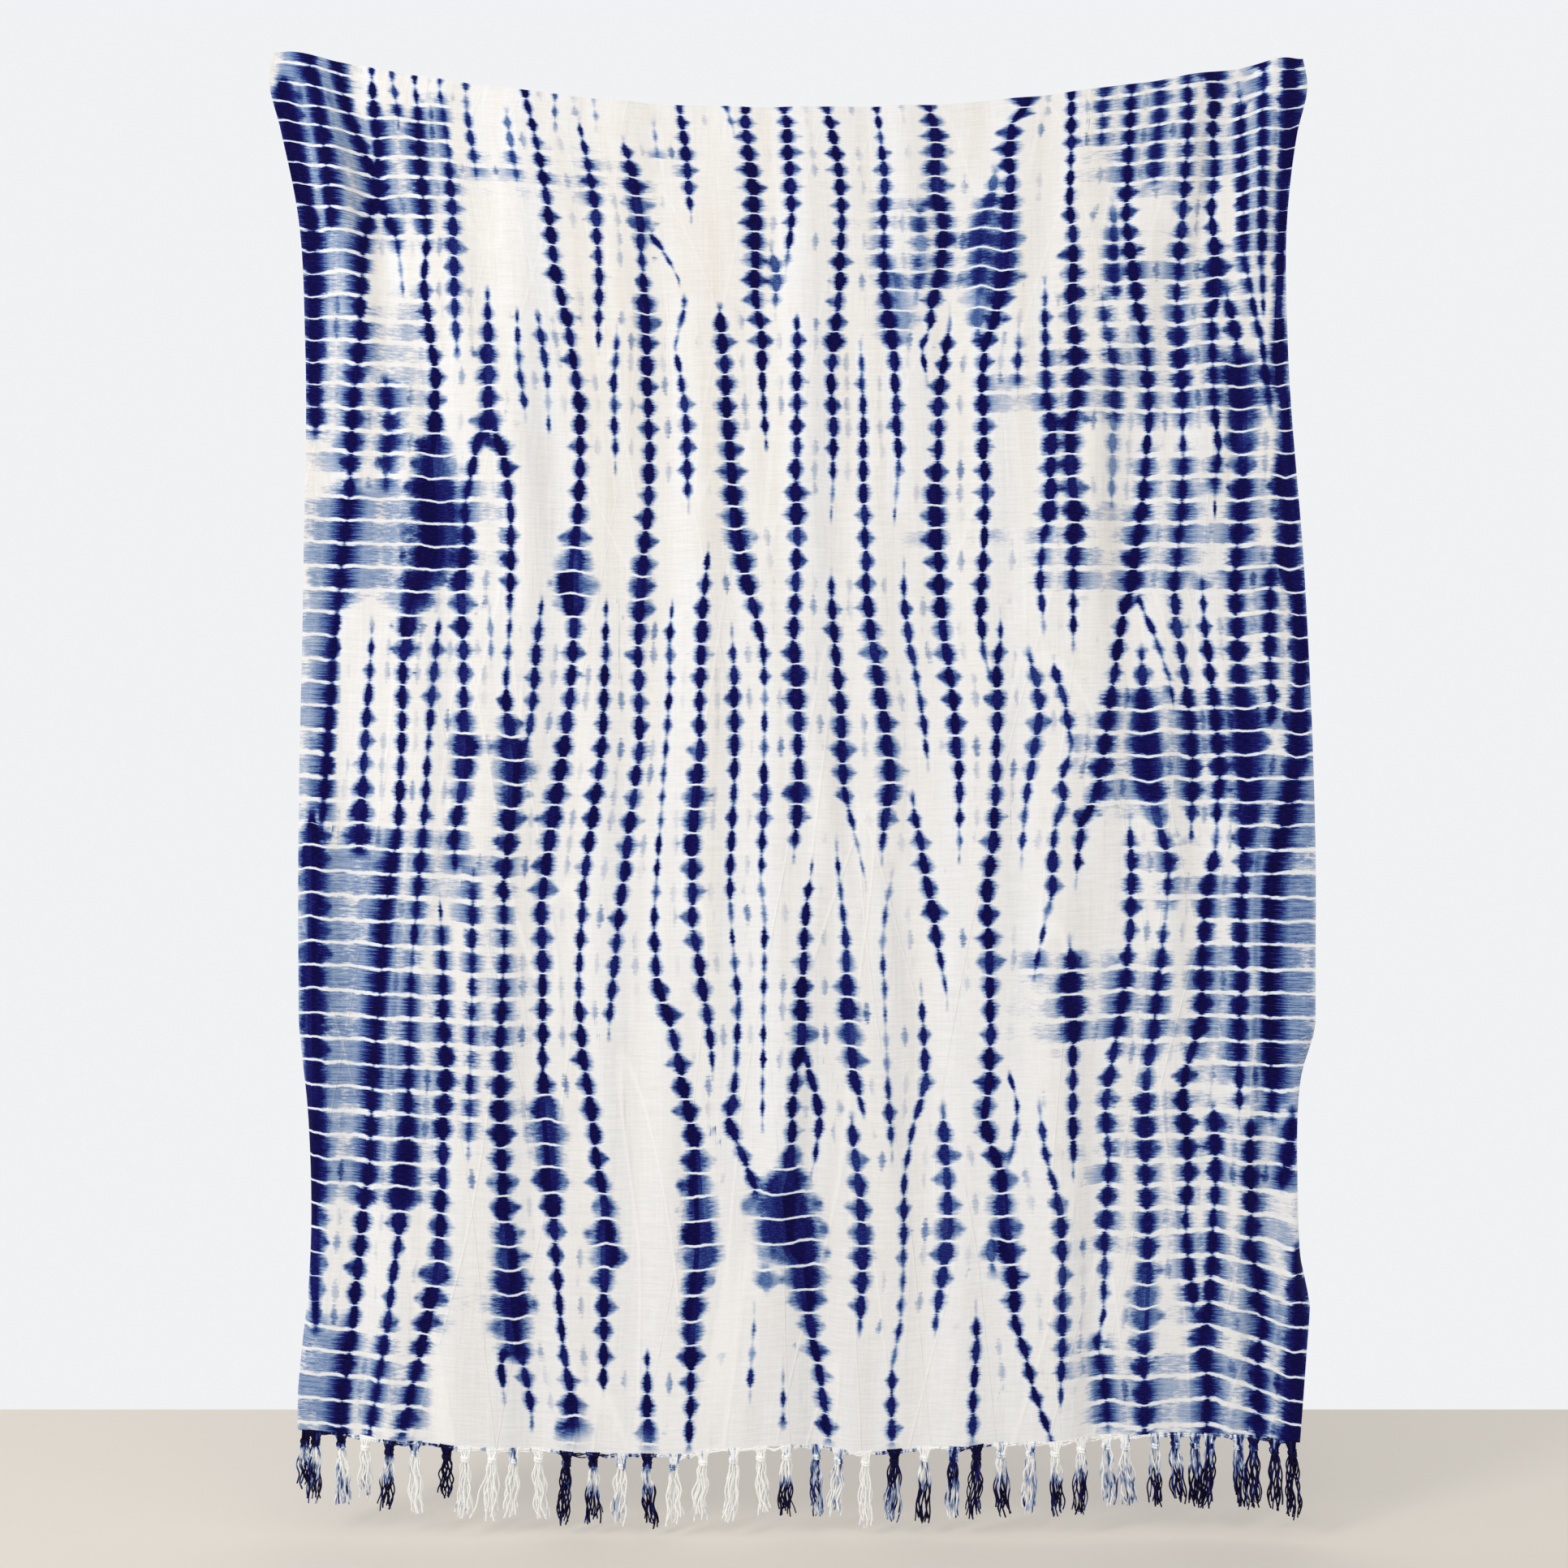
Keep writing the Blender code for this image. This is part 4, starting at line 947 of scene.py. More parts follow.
# %% Gauze: beads of every layer
left_undyed = None
for number in range(LAYERS):
    carrier = add_node(tree, "Attribute", attribute_name=f"pleats {number}", out="Vector")
    away, half, tone_here = add_node(tree, "SeparateXYZ", {0: carrier}).node.outputs
    bead_at = add_node(tree, "CombineXYZ", {0: bead_x, 1: bead_row, 2: 11.3 * number})
    chance = add_node(tree, "TexNoise", {"Vector": bead_at, "Scale": 1.0, "Detail": 1.0}, out="Color")
    size_chance, side_chance, form_chance = add_node(tree, "SeparateColor", {0: chance}).node.outputs
    swell = add_node(tree, "MapRange", {0: size_chance, **SWELL})
    lean = add_node(tree, "MapRange", {0: side_chance, **LEAN})
    shift = add_node(tree, "Math", {0: lean, 1: half}, operation="MULTIPLY")
    neck = add_node(tree, "MapRange", {0: half, **NECK})
    neck = add_node(tree, "Math", {0: neck, 1: at_selvedge}, operation="MAXIMUM")
    roundness = add_node(tree, "MapRange", {0: form_chance, **ROUNDNESS})
    wing = add_node(tree, "MapRange", {0: form_chance, **WING})
    pointed = add_node(tree, "Mix", {0: roundness, 2: lozenge, 3: barrel}, data_type="FLOAT")
    shape = add_node(tree, "Mix", {0: neck, 2: pointed, 3: 1.0}, data_type="FLOAT")
    reach = add_node(tree, "Math", {0: half, 1: swell}, operation="MULTIPLY")
    reach = add_node(tree, "Math", {0: reach, 1: shape}, operation="MULTIPLY")
    from_heart = add_node(tree, "Math", {0: away, 1: shift}, operation="ADD")
    from_heart = add_node(tree, "Math", {0: from_heart}, operation="ABSOLUTE")
    ragged = add_node(tree, "Math", {0: half, 1: 0.75, 2: 5.5 * MM}, operation="MULTIPLY_ADD")
    inside = add_node(tree, "Math", {0: reach, 1: from_heart}, operation="SUBTRACT")
    inside = add_node(tree, "Math", {0: comb, 1: ragged, 2: inside}, operation="MULTIPLY_ADD")
    wing_reach = add_node(tree, "Math", {0: wing, 1: wing_shape}, operation="MULTIPLY")
    inside_wing = add_node(tree, "Math", {0: wing_reach, 1: half, 2: inside}, operation="MULTIPLY_ADD")
    rim_out = add_node(tree, "Math", {0: half, 1: -0.42, 2: -2.2 * MM}, operation="MULTIPLY_ADD")
    rim_in = add_node(tree, "Math", {0: half, 1: 0.28, 2: 1.1 * MM}, operation="MULTIPLY_ADD")
    rim_range = {0: inside_wing, 1: rim_out, 2: rim_in, 3: 0.0, 4: RIM_TONE}
    rim = add_node(tree, "MapRange", rim_range, interpolation_type="SMOOTHSTEP")
    heart_depth = add_node(tree, "Math", {0: half, 1: 0.42, 2: 1.6 * MM}, operation="MULTIPLY_ADD")
    heart_tone = add_node(tree, "MapRange", {0: size_chance, **HEART_TONE})
    heart_range = {0: inside, 1: -0.3 * MM, 2: heart_depth, 3: 0.0, 4: heart_tone}
    heart = add_node(tree, "MapRange", heart_range, interpolation_type="SMOOTHSTEP")
    dye = add_node(tree, "Math", {0: rim, 1: heart}, operation="ADD")
    from_fold = add_node(tree, "Math", {0: away}, operation="ABSOLUTE")
    spine_in = add_node(tree, "Math", {0: half, 1: 0.10, 2: 2.0 * MM}, operation="MULTIPLY_ADD")
    spine_out = add_node(tree, "Math", {0: spine_in, 1: SPINE_FADE}, operation="ADD")
    spine = add_node(tree, "MapRange", {0: from_fold, 1: spine_in, 2: spine_out, 3: SPINE_TONE, 4: 0.0})
    spine_runs = add_node(tree, "MapRange", {0: inside, 1: -2.0 * MM, 2: 1.0 * MM})
    dye = add_node(tree, "Math", {0: spine, 1: spine_runs, 2: dye}, operation="MULTIPLY_ADD")
    is_small = add_node(tree, "MapRange", {0: half, **SMALL})
    luck = add_node(tree, "MapRange", {0: size_chance, **LUCK})
    luck = add_node(tree, "Math", {0: luck, 1: lozenge}, operation="MULTIPLY")
    thinning = add_node(tree, "Mix", {0: is_small, 2: 1.0, 3: luck}, data_type="FLOAT")
    dye = add_node(tree, "Math", {0: dye, 1: thinning}, operation="MULTIPLY", use_clamp=True)
    strength = add_node(tree, "MapRange", {0: side_chance, **STRENGTH})
    dye = add_node(tree, "Math", {0: dye, 1: strength}, operation="MULTIPLY", use_clamp=True)
    over_fold = {1: -0.5 * MM, 2: 0.5 * MM, 3: 1 - number % 2, 4: number % 2}
    other_side = add_node(tree, "MapRange", {0: away, **over_fold})
    paler_side = add_node(tree, "MapRange", {0: half, **PALER_SIDE})
    side_dye = add_node(tree, "Math", {0: other_side, 1: paler_side, 2: 1.0}, operation="MULTIPLY_ADD")
    dye = add_node(tree, "Math", {0: dye, 1: side_dye}, operation="MULTIPLY")
    dye = add_node(tree, "Math", {0: dye, 1: tone_here}, operation="MULTIPLY")
    gap = add_node(tree, "MapRange", {0: half, **GAP})
    gap_end = add_node(tree, "Math", {0: gap, 1: GAP_FADE}, operation="ADD")
    bound = add_node(tree, "MapRange", {0: combed_line, 1: gap, 2: gap_end}, interpolation_type="SMOOTHSTEP")
    dye = add_node(tree, "Math", {0: dye, 1: bound}, operation="MULTIPLY")
    left_over = add_node(tree, "Math", {0: 1.0, 1: dye}, operation="SUBTRACT")
    if left_undyed is None:
        left_undyed = left_over
    else:
        left_undyed = add_node(tree, "Math", {0: left_undyed, 1: left_over}, operation="MULTIPLY")
print("nodes up to the beads:", len(tree.nodes))

# %% [markdown]
# ## Let the washes run
#
# In a wash the dye soaked in from the pleats on each side and ran on between two bindings. So a bar is
# deepest beside the pleats, and paler or even broken halfway between them. A thin wash keeps a wider white
# line. Where two pleats lay close, the cloth between them was folded in, and its far edge took a row of faint
# beads.

# %% Gauze: washes in bars
wash_here = add_node(tree, "Attribute", attribute_name="wash", out="Fac")
from_pleat = add_node(tree, "Attribute", attribute_name="between pleats", out="Fac")
patch_row = add_node(tree, "Math", {0: row_index, 1: 0.85}, operation="MULTIPLY")
patch_x = add_node(tree, "Math", {0: flat_x, 1: 17.0}, operation="MULTIPLY")
patch_at = add_node(tree, "CombineXYZ", {0: patch_x, 1: patch_row, 2: 4.0})
patch = add_node(tree, "TexNoise", {"Vector": patch_at, "Scale": 1.0, "Detail": 2.0, "Roughness": 0.7})
streak = add_node(tree, "MapRange", {0: grains["streak"], 1: 0.32, 2: 0.68, 3: 0.60, 4: 1.12})
thinned = add_node(tree, "Math", {0: from_middle, 1: 2.4}, operation="POWER")
bar_level = add_node(tree, "Math", {0: wash_here, 1: 1.2, 2: -0.98}, operation="MULTIPLY_ADD")
bar_level = add_node(tree, "Math", {0: patch, 1: 2.1, 2: bar_level}, operation="MULTIPLY_ADD")
bar_level = add_node(tree, "Math", {0: thinned, 1: -0.22, 2: bar_level}, operation="MULTIPLY_ADD")
bar_level = add_node(tree, "Math", {0: comb, 1: 0.6, 2: bar_level}, operation="MULTIPLY_ADD")
bar_fills = add_node(tree, "MapRange", {0: bar_level, 1: 0.0, 2: 0.35}, interpolation_type="SMOOTHSTEP")
bar_half = add_node(tree, "Math", {0: bar_level, 1: 1.05, 2: 0.30}, operation="MULTIPLY_ADD")
bar_inside = add_node(tree, "Math", {0: bar_half, 1: from_pleat}, operation="SUBTRACT")
bar_inside = add_node(tree, "Math", {0: comb, 1: 1.3, 2: bar_inside}, operation="MULTIPLY_ADD")
bar_ends = add_node(tree, "MapRange", {0: bar_inside, 1: -0.34, 2: 0.38}, interpolation_type="SMOOTHSTEP")
wash_bars = add_node(tree, "Math", {0: bar_fills, 1: bar_ends}, operation="MULTIPLY")
wash_gap = add_node(tree, "MapRange", {0: bar_level, 1: 0.1, 2: 0.8, 3: 3.2, 4: 0.6})
wash_gap_end = add_node(tree, "Math", {0: wash_gap, 1: 2.3}, operation="ADD")
line_range = {0: combed_line, 1: wash_gap, 2: wash_gap_end}
wash_line = add_node(tree, "MapRange", line_range, interpolation_type="SMOOTHSTEP")
wash_dye = add_node(tree, "Math", {0: wash_here, 1: 0.95, 2: 0.18}, operation="MULTIPLY_ADD")
paler = add_node(tree, "MapRange", {0: from_pleat, 1: 0.10, 2: 0.72, 3: 1.50, 4: 0.56})
any_wash = add_node(tree, "MapRange", {0: wash_here, 1: 0.0, 2: 0.1})
for factor in (any_wash, paler, streak, wash_bars, wash_line):
    wash_dye = add_node(tree, "Math", {0: wash_dye, 1: factor}, operation="MULTIPLY")
wash_left = add_node(tree, "Math", {0: 1.0, 1: wash_dye}, operation="SUBTRACT")
print("nodes up to the washes:", len(tree.nodes))

# %% Gauze: faint beads, and the depth of all dye
halfway = add_node(tree, "Attribute", attribute_name="halfway between pleats", out="Fac")
faint_half = add_node(tree, "Math", {0: lozenge, 1: 5.0 * MM}, operation="MULTIPLY")
faint_inside = add_node(tree, "Math", {0: faint_half, 1: halfway}, operation="SUBTRACT")
faint_inside = add_node(tree, "Math", {0: comb, 1: 13 * MM, 2: faint_inside}, operation="MULTIPLY_ADD")
faint = add_node(tree, "MapRange", {0: faint_inside, 1: -2 * MM, 2: 3 * MM}, interpolation_type="SMOOTHSTEP")
faint_tone = add_node(tree, "MapRange", {0: patch, 1: 0.50, 2: 0.66, 3: 0.0, 4: 0.46})
faint = add_node(tree, "Math", {0: faint, 1: faint_tone}, operation="MULTIPLY")
faint_left = add_node(tree, "Math", {0: 1.0, 1: faint}, operation="SUBTRACT")
wash_left = add_node(tree, "Math", {0: wash_left, 1: faint_left}, operation="MULTIPLY")
left_undyed = add_node(tree, "Math", {0: left_undyed, 1: wash_left}, operation="MULTIPLY")
dye_depth = add_node(tree, "Math", {0: 1.0, 1: left_undyed}, operation="SUBTRACT")
# Partly painted light: the dye is thinned in specks where light through the gaps of the weave would show,
# partly uneven dye on the threads
speck_and_see_through_light = add_node(tree, "MapRange", {0: grains["speck_and_see_through_light"], 1: 0.34, 2: 0.72, 3: 1.0, 4: 0.84})
heather = add_node(tree, "MapRange", {0: grains["heather"], 1: 0.34, 2: 0.66, 3: 0.84, 4: 1.12})
for factor in (speck_and_see_through_light, heather):
    dye_depth = add_node(tree, "Math", {0: dye_depth, 1: factor}, operation="MULTIPLY", use_clamp=True)
print("nodes up to the dye's depth:", len(tree.nodes))

# %% [markdown]
# ## Colour the cotton and the indigo
#
# Indigo isn't one blue. Thin, it is a greyish sky blue, then it turns clear, and where it is deep it goes
# towards a violet black. So one ramp turns the depth of the dye into a colour. The undyed cotton is a cool
# white under painted shade: darker and warmer towards the top, in bands down the cloth and halfway between
# the pleats. Thick yarns catch a little more light.

# %% Gauze: colours of cotton and indigo
Stop = namedtuple("Stop", "at colour")
INDIGO = (
    Stop(at=0.00, colour="f8f7f4"),
    Stop(at=0.12, colour="d5dae4"),
    Stop(at=0.30, colour="9db0cd"),
    Stop(at=0.48, colour="5b78aa"),
    Stop(at=0.62, colour="283c82"),
    Stop(at=0.76, colour="171562"),
    Stop(at=0.88, colour="0e084a"),
    Stop(at=1.00, colour="07032e"),
)
# the cool cotton is the lit white; the shaded cotton is the darker, warmer colour that painted shade mixes in
COOL_COTTON = "fbfcff"
SHADED_COTTON = "f2ece5"
COLOURS = {"out": 2, "data_type": "RGBA"}


def set_stops(ramp, stops):
    """Puts a list of stops on a colour ramp."""
    while len(ramp.elements) < len(stops):
        ramp.elements.new(0.5)
    for element, stop in zip(ramp.elements, stops):
        element.position = stop.at
        element.color = linear(stop.colour)


indigo = add_node(tree, "ValToRGB", {0: dye_depth})
set_stops(indigo.node.color_ramp, INDIGO)
# Painted shade: bands down the cloth, more of it halfway between pleats, all of it stronger towards the top,
# mix the cotton towards the shaded cotton
painted_cotton_shade = add_node(tree, "MapRange", {0: grains["pleat shade"], 1: 0.40, 2: 0.66, 3: 0.0, 4: 0.45})
painted_cotton_shade = add_node(tree, "Math", {0: from_pleat, 1: 0.45, 2: painted_cotton_shade}, operation="MULTIPLY_ADD")
shade_towards_top = add_node(tree, "MapRange", {0: flat_y, 1: 0.0, 2: 1.3, 3: 0.30, 4: 1.0})
painted_cotton_shade = add_node(tree, "Math", {0: painted_cotton_shade, 1: shade_towards_top}, operation="MULTIPLY")
cotton = add_node(tree, "Mix", {0: painted_cotton_shade, 6: linear(COOL_COTTON), 7: linear(SHADED_COTTON)}, **COLOURS)
colour = add_node(tree, "Mix", {0: 1.0, 6: indigo, 7: cotton}, blend_type="MULTIPLY", **COLOURS)
shade = add_node(tree, "Math", {0: grains["warp line"], 1: 0.35, 2: grains["slub"]}, operation="MULTIPLY_ADD")
shade = add_node(tree, "MapRange", {0: shade, 1: 0.45, 2: 0.90, 3: 0.90, 4: 1.03})
shades = add_node(tree, "CombineXYZ", {0: shade, 1: shade, 2: shade})
colour = add_node(tree, "Mix", {0: 1.0, 6: colour, 7: shades}, blend_type="MULTIPLY", **COLOURS)
print("colour stops:", len(INDIGO))

# %% [markdown]
# ## Raise the weave, the slubs and the creases
#
# Up close the cloth is a plain weave with uneven wefts, creased softly where it was pleated. Long thin
# creases cross it too, from the way it lay folded. Two turned noises give their lines, drawn where each noise
# passes its middle value. On bare cotton these creases get a painted highlight, a lighter colour where light
# would catch their ridges. Thin cotton has hardly any shine.

# %% Gauze: weave and creases in relief
YARN_PITCH = 0.9 * MM
weave_turns = 2 * math.pi / YARN_PITCH
weave_at = add_node(tree, "VectorMath", {0: flat, 1: (weave_turns, weave_turns, 0.0)}, operation="MULTIPLY")
weave_x, weave_y, _ = add_node(tree, "SeparateXYZ", {0: weave_at}).node.outputs
warp_wave = add_node(tree, "Math", {0: weave_x}, operation="SINE")
weft_wave = add_node(tree, "Math", {0: weave_y}, operation="SINE")
weave = add_node(tree, "Math", {0: warp_wave, 1: weft_wave}, operation="MULTIPLY")

CREASE_TURNS = ((0.20, 0.0), (-0.17, 5.0))  # angle from the warp in radians, and a shift of the noise
CREASE_WIDTH = 0.009
crease_lines = []
for turned, offset in CREASE_TURNS:
    drag_at = add_node(tree, "VectorRotate", {"Vector": flat, "Angle": turned}, rotation_type="Z_AXIS")
    drag_at = add_node(tree, "VectorMath", {0: drag_at, 1: (8.0, 0.7, 1.0)}, operation="MULTIPLY")
    drag_at = add_node(tree, "VectorMath", {0: drag_at, 1: (offset, offset, 0.0)}, operation="ADD")
    drag = add_node(tree, "TexNoise", {"Vector": drag_at, "Scale": 1.0, "Detail": 1.0})
    drag = add_node(tree, "Math", {0: drag, 1: 0.5}, operation="SUBTRACT")
    drag = add_node(tree, "Math", {0: drag}, operation="ABSOLUTE")
    line_range = {0: drag, 1: 0.0, 2: CREASE_WIDTH, 3: 1.0, 4: 0.0}
    crease_lines.append(add_node(tree, "MapRange", line_range, interpolation_type="SMOOTHSTEP"))
creased = add_node(tree, "Math", {0: crease_lines[0], 1: crease_lines[1]}, operation="MAXIMUM")
pulled_flat = add_node(tree, "MapRange", {0: flat_y, 1: 0.5, 2: 1.3, 3: 1.0, 4: 0.35})
creased = add_node(tree, "Math", {0: creased, 1: pulled_flat}, operation="MULTIPLY")

# height of each part of the relief, against the distance of the bump
WEAVE_HEIGHT = 0.06
HEIGHTS = ((grains["slub"], 0.55), (grains["crease"], 2.4), (creased, 0.9))
relief = add_node(tree, "Math", {0: weave, 1: WEAVE_HEIGHT}, operation="MULTIPLY")
for part, height in HEIGHTS:
    relief = add_node(tree, "Math", {0: part, 1: height, 2: relief}, operation="MULTIPLY_ADD")
bump = add_node(tree, "Bump", {"Height": relief, "Distance": 0.9 * MM, "Strength": 0.8})
tree.links.new(bump, cloth_shader.inputs["Normal"])
print("creases lie at", [turned for turned, _ in CREASE_TURNS], "radians from the warp")

# %% Gauze: painted highlight on the creases, and shine of thin cotton
CREASE_HIGHLIGHT = "fbf9f5"
# Painted highlight: a lighter colour along the crease lines on undyed cotton, where light would catch their
# ridges
crease_highlight = add_node(tree, "Math", {0: left_undyed, 1: 3.0}, operation="POWER")
crease_highlight = add_node(tree, "Math", {0: crease_highlight, 1: creased}, operation="MULTIPLY")
crease_highlight = add_node(tree, "Math", {0: crease_highlight, 1: 0.5}, operation="MULTIPLY")
colour = add_node(tree, "Mix", {0: crease_highlight, 6: colour, 7: linear(CREASE_HIGHLIGHT)}, blend_type="LIGHTEN", **COLOURS)
tree.links.new(colour, cloth_shader.inputs["Base Color"])
rough = add_node(tree, "MapRange", {0: grains["slub"], 3: 0.86, 4: 0.98})
tree.links.new(rough, cloth_shader.inputs["Roughness"])
cloth_shader.inputs["Specular IOR Level"].default_value = 0.08
cloth_shader.inputs["Sheen Weight"].default_value = 0.02
cloth_shader.inputs["Sheen Roughness"].default_value = 0.5
gauze_sheet.data.materials.append(gauze)
print("nodes in the gauze:", len(tree.nodes))

# %% [markdown]
# ## Tie the fringe
#
# Below the hem the warp ends were gathered by hand in 41 bundles, each tied in a knot, with loose yarn ends
# under it. A yarn is a bent wire with a round section, so each one is a curve with a bevel. A bundle's yarns
# come from the hem, meet in the knot, and spread and kink below it. Some bundles sat deep in the dye.

# %% Fringe chart
Bundle = namedtuple("Bundle", "x_mm length_mm neck shank tip")
BUNDLES = (
    Bundle(-613, 66, 1.0, 0.5, 0.9), Bundle(-600, 82, 1.0, 0.3, 0.8), Bundle(-568, 84, 0.9, 0.1, 0.4),
    Bundle(-537, 74, 0.0, 0.0, 0.2), Bundle(-505, 80, 0.9, 0.4, 0.9), Bundle(-474, 82, 0.5, 0.0, 0.0),
    Bundle(-434, 62, 1.0, 1.0, 1.0), Bundle(-411, 84, 0.0, 0.0, 0.1), Bundle(-378, 86, 0.2, 0.0, 0.0),
    Bundle(-352, 80, 0.3, 0.0, 0.0), Bundle(-322, 84, 0.0, 0.0, 0.0), Bundle(-286, 86, 0.9, 0.9, 0.9),
    Bundle(-253, 84, 1.0, 0.2, 0.9), Bundle(-218, 82, 0.4, 0.0, 0.2), Bundle(-185, 86, 0.8, 0.4, 1.0),
    Bundle(-151, 82, 0.4, 0.0, 0.0), Bundle(-115, 80, 0.0, 0.0, 0.0), Bundle(-77, 84, 0.1, 0.0, 0.0),
    Bundle(-43, 82, 0.0, 0.0, 0.0), Bundle(-11, 82, 0.2, 0.1, 1.0), Bundle(26, 84, 0.3, 0.5, 0.6),
    Bundle(54, 78, 0.4, 0.3, 0.2), Bundle(88, 92, 0.0, 0.0, 0.0), Bundle(124, 84, 1.0, 0.8, 0.5),
    Bundle(162, 88, 0.1, 0.3, 1.0), Bundle(197, 84, 0.5, 0.8, 0.4), Bundle(226, 86, 1.0, 0.9, 0.9),
    Bundle(257, 88, 0.2, 0.2, 0.9), Bundle(293, 84, 0.3, 0.2, 0.3), Bundle(323, 86, 0.0, 0.1, 0.9),
    Bundle(357, 90, 0.1, 0.2, 0.9), Bundle(390, 84, 0.2, 0.2, 0.4), Bundle(413, 82, 0.2, 0.2, 0.5),
    Bundle(450, 86, 0.3, 0.3, 0.9), Bundle(476, 84, 0.6, 0.4, 0.9), Bundle(500, 86, 0.5, 0.5, 1.0),
    Bundle(519, 88, 0.6, 0.7, 1.0), Bundle(554, 84, 0.5, 0.5, 0.9), Bundle(573, 86, 0.8, 0.7, 1.0),
    Bundle(597, 84, 0.8, 0.8, 1.0), Bundle(618, 88, 1.0, 1.0, 1.0),
)
print("bundles:", len(BUNDLES))

# %% Yarns of a bundle
YARNS = 13
YARN_RADIUS = 1.05 * MM
KNOT_BELOW = 13 * MM
KNOT_HALF_WIDTH = 4.6 * MM
KNOT_HALF_DEPTH = 2.6 * MM
GATHER = 9 * MM  # how far to each side of a knot its yarns leave the hem
FAN = 9 * MM
FLYAWAYS = 0.09  # this share of the yarns strays from its bundle,
FLYAWAY_MM = 16.0  # and as far as this
LOOSE_STEPS = 9
KNOT_TURNS = 2.2
KNOT_STEPS = 14
KNOT_WEIGHT = 2.3  # the knot's turns are this much thicker than a yarn
DYE_MARKS_MM = (4, 12, 24, 34, 56, 66)  # below the hem: where the neck, the shank and the tip begin and end
rng = np.random.default_rng(11)


def hem_at(x):
    """Place of the hem under a point across the cloth."""
    share = np.clip((x - EDGES[-1].left) / (EDGES[-1].right - EDGES[-1].left), 0.005, 0.995)
    place = on_cloth(np.array([share]), np.array([float(ROWS)]))
    return np.array([float(v[0]) for v in place])


def yarn_path(bundle, side, front, lean):
    """Points down one yarn: out of the hem, through the knot, and loose to its tip."""
    x = bundle.x_mm * MM
    knot = hem_at(x) + (0.0, 0.0, -KNOT_BELOW)
    length = bundle.length_mm * MM * rng.uniform(0.84, 1.04)
    loose = length - KNOT_BELOW
    start = hem_at(x + side * GATHER) + (0.0, 0.0, 1.5 * MM)
    path = [start, (start + knot) / 2 + (side * 1.5 * MM, front * 1.0 * MM, 0.0)]
    path.append(knot + (side * KNOT_HALF_WIDTH * 0.7, front * KNOT_HALF_DEPTH, 2 * MM))
    path.append(knot + (side * KNOT_HALF_WIDTH * 0.8, front * KNOT_HALF_DEPTH, -3 * MM))
    swing = side * FAN * rng.uniform(0.6, 1.15)
    if rng.uniform() < FLYAWAYS:
        lean += rng.uniform(-FLYAWAY_MM, FLYAWAY_MM) * MM
    turn = rng.uniform(0.0, 2 * math.pi)
    kink = rng.uniform(1.0, 3.0) * MM
    for step in range(1, LOOSE_STEPS + 1):
        t = step / LOOSE_STEPS
        spread = swing * t**0.5 * (1 - 0.4 * t**2) + lean * t**1.4
        sway = (math.sin(turn + 12.0 * t) * kink + spread, front * (3.0 + 3.0 * t) * MM)
        path.append(knot + (side * KNOT_HALF_WIDTH * 0.6 + sway[0], sway[1], -3 * MM - loose * t))
    return path


def add_yarns(bundle, name):
    """One bundle as a mesh: its yarns and the turns of its knot."""
    deselect_all()
    bpy.ops.curve.primitive_bezier_curve_add()
    curve = bpy.context.object
    curve.name = name
    curve.data.splines.clear()
    curve.data.bevel_depth = YARN_RADIUS
    curve.data.bevel_resolution = 0
    curve.data.resolution_u = 2
    curve.data.use_fill_caps = True
    paths = []
    lean = rng.uniform(-6.0, 6.0) * MM
    for k in range(YARNS):
        side = -1 + 2 * (k + 0.5) / YARNS + rng.uniform(-0.08, 0.08)
        paths.append((yarn_path(bundle, side, rng.uniform(-1.0, 1.0), lean), 1.0))
    knot = hem_at(bundle.x_mm * MM) + (0.0, 0.0, -KNOT_BELOW)
    wound = []
    for k in range(KNOT_STEPS + 1):
        angle = 2 * math.pi * KNOT_TURNS * k / KNOT_STEPS + rng.uniform(0, 0.3)
        wide = KNOT_HALF_WIDTH * (1.0 + 0.18 * math.sin(k))
        deep = KNOT_HALF_DEPTH + 1.2 * MM
        wound.append(knot + (wide * math.cos(angle), deep * math.sin(angle), (3 - k * 0.5) * MM))
    paths.append((wound, KNOT_WEIGHT))
    for path, weight in paths:
        spline = curve.data.splines.new("NURBS")
        spline.points.add(len(path) - 1)
        spline.points.foreach_set("co", np.array([(*p, 1.0) for p in path]).ravel())
        spline.points.foreach_set("radius", np.full(len(path), weight))
        spline.use_endpoint_u = True
        spline.order_u = 3
    bpy.ops.object.convert(target="MESH")
    return bpy.context.object


def dye_of(bundle, mesh):
    """How deep the dye went at each point of a bundle, from its neck, shank and tip."""
    places = np.empty(len(mesh.vertices) * 3)
    mesh.vertices.foreach_get("co", places)
    below = hem_at(bundle.x_mm * MM)[2] - places.reshape(-1, 3)[:, 2]
    return np.interp(below / MM, DYE_MARKS_MM, np.repeat((bundle.neck, bundle.shank, bundle.tip), 2))


print("yarns in a bundle:", YARNS)

# %% [markdown]
# ## Close the hem
#
# The last wefts of the weave have nothing below them, so they slip down a little and lie loose along the hem.
# Three long yarns that stray at every step stand for them. They are dyed as the necks of the bundles are.

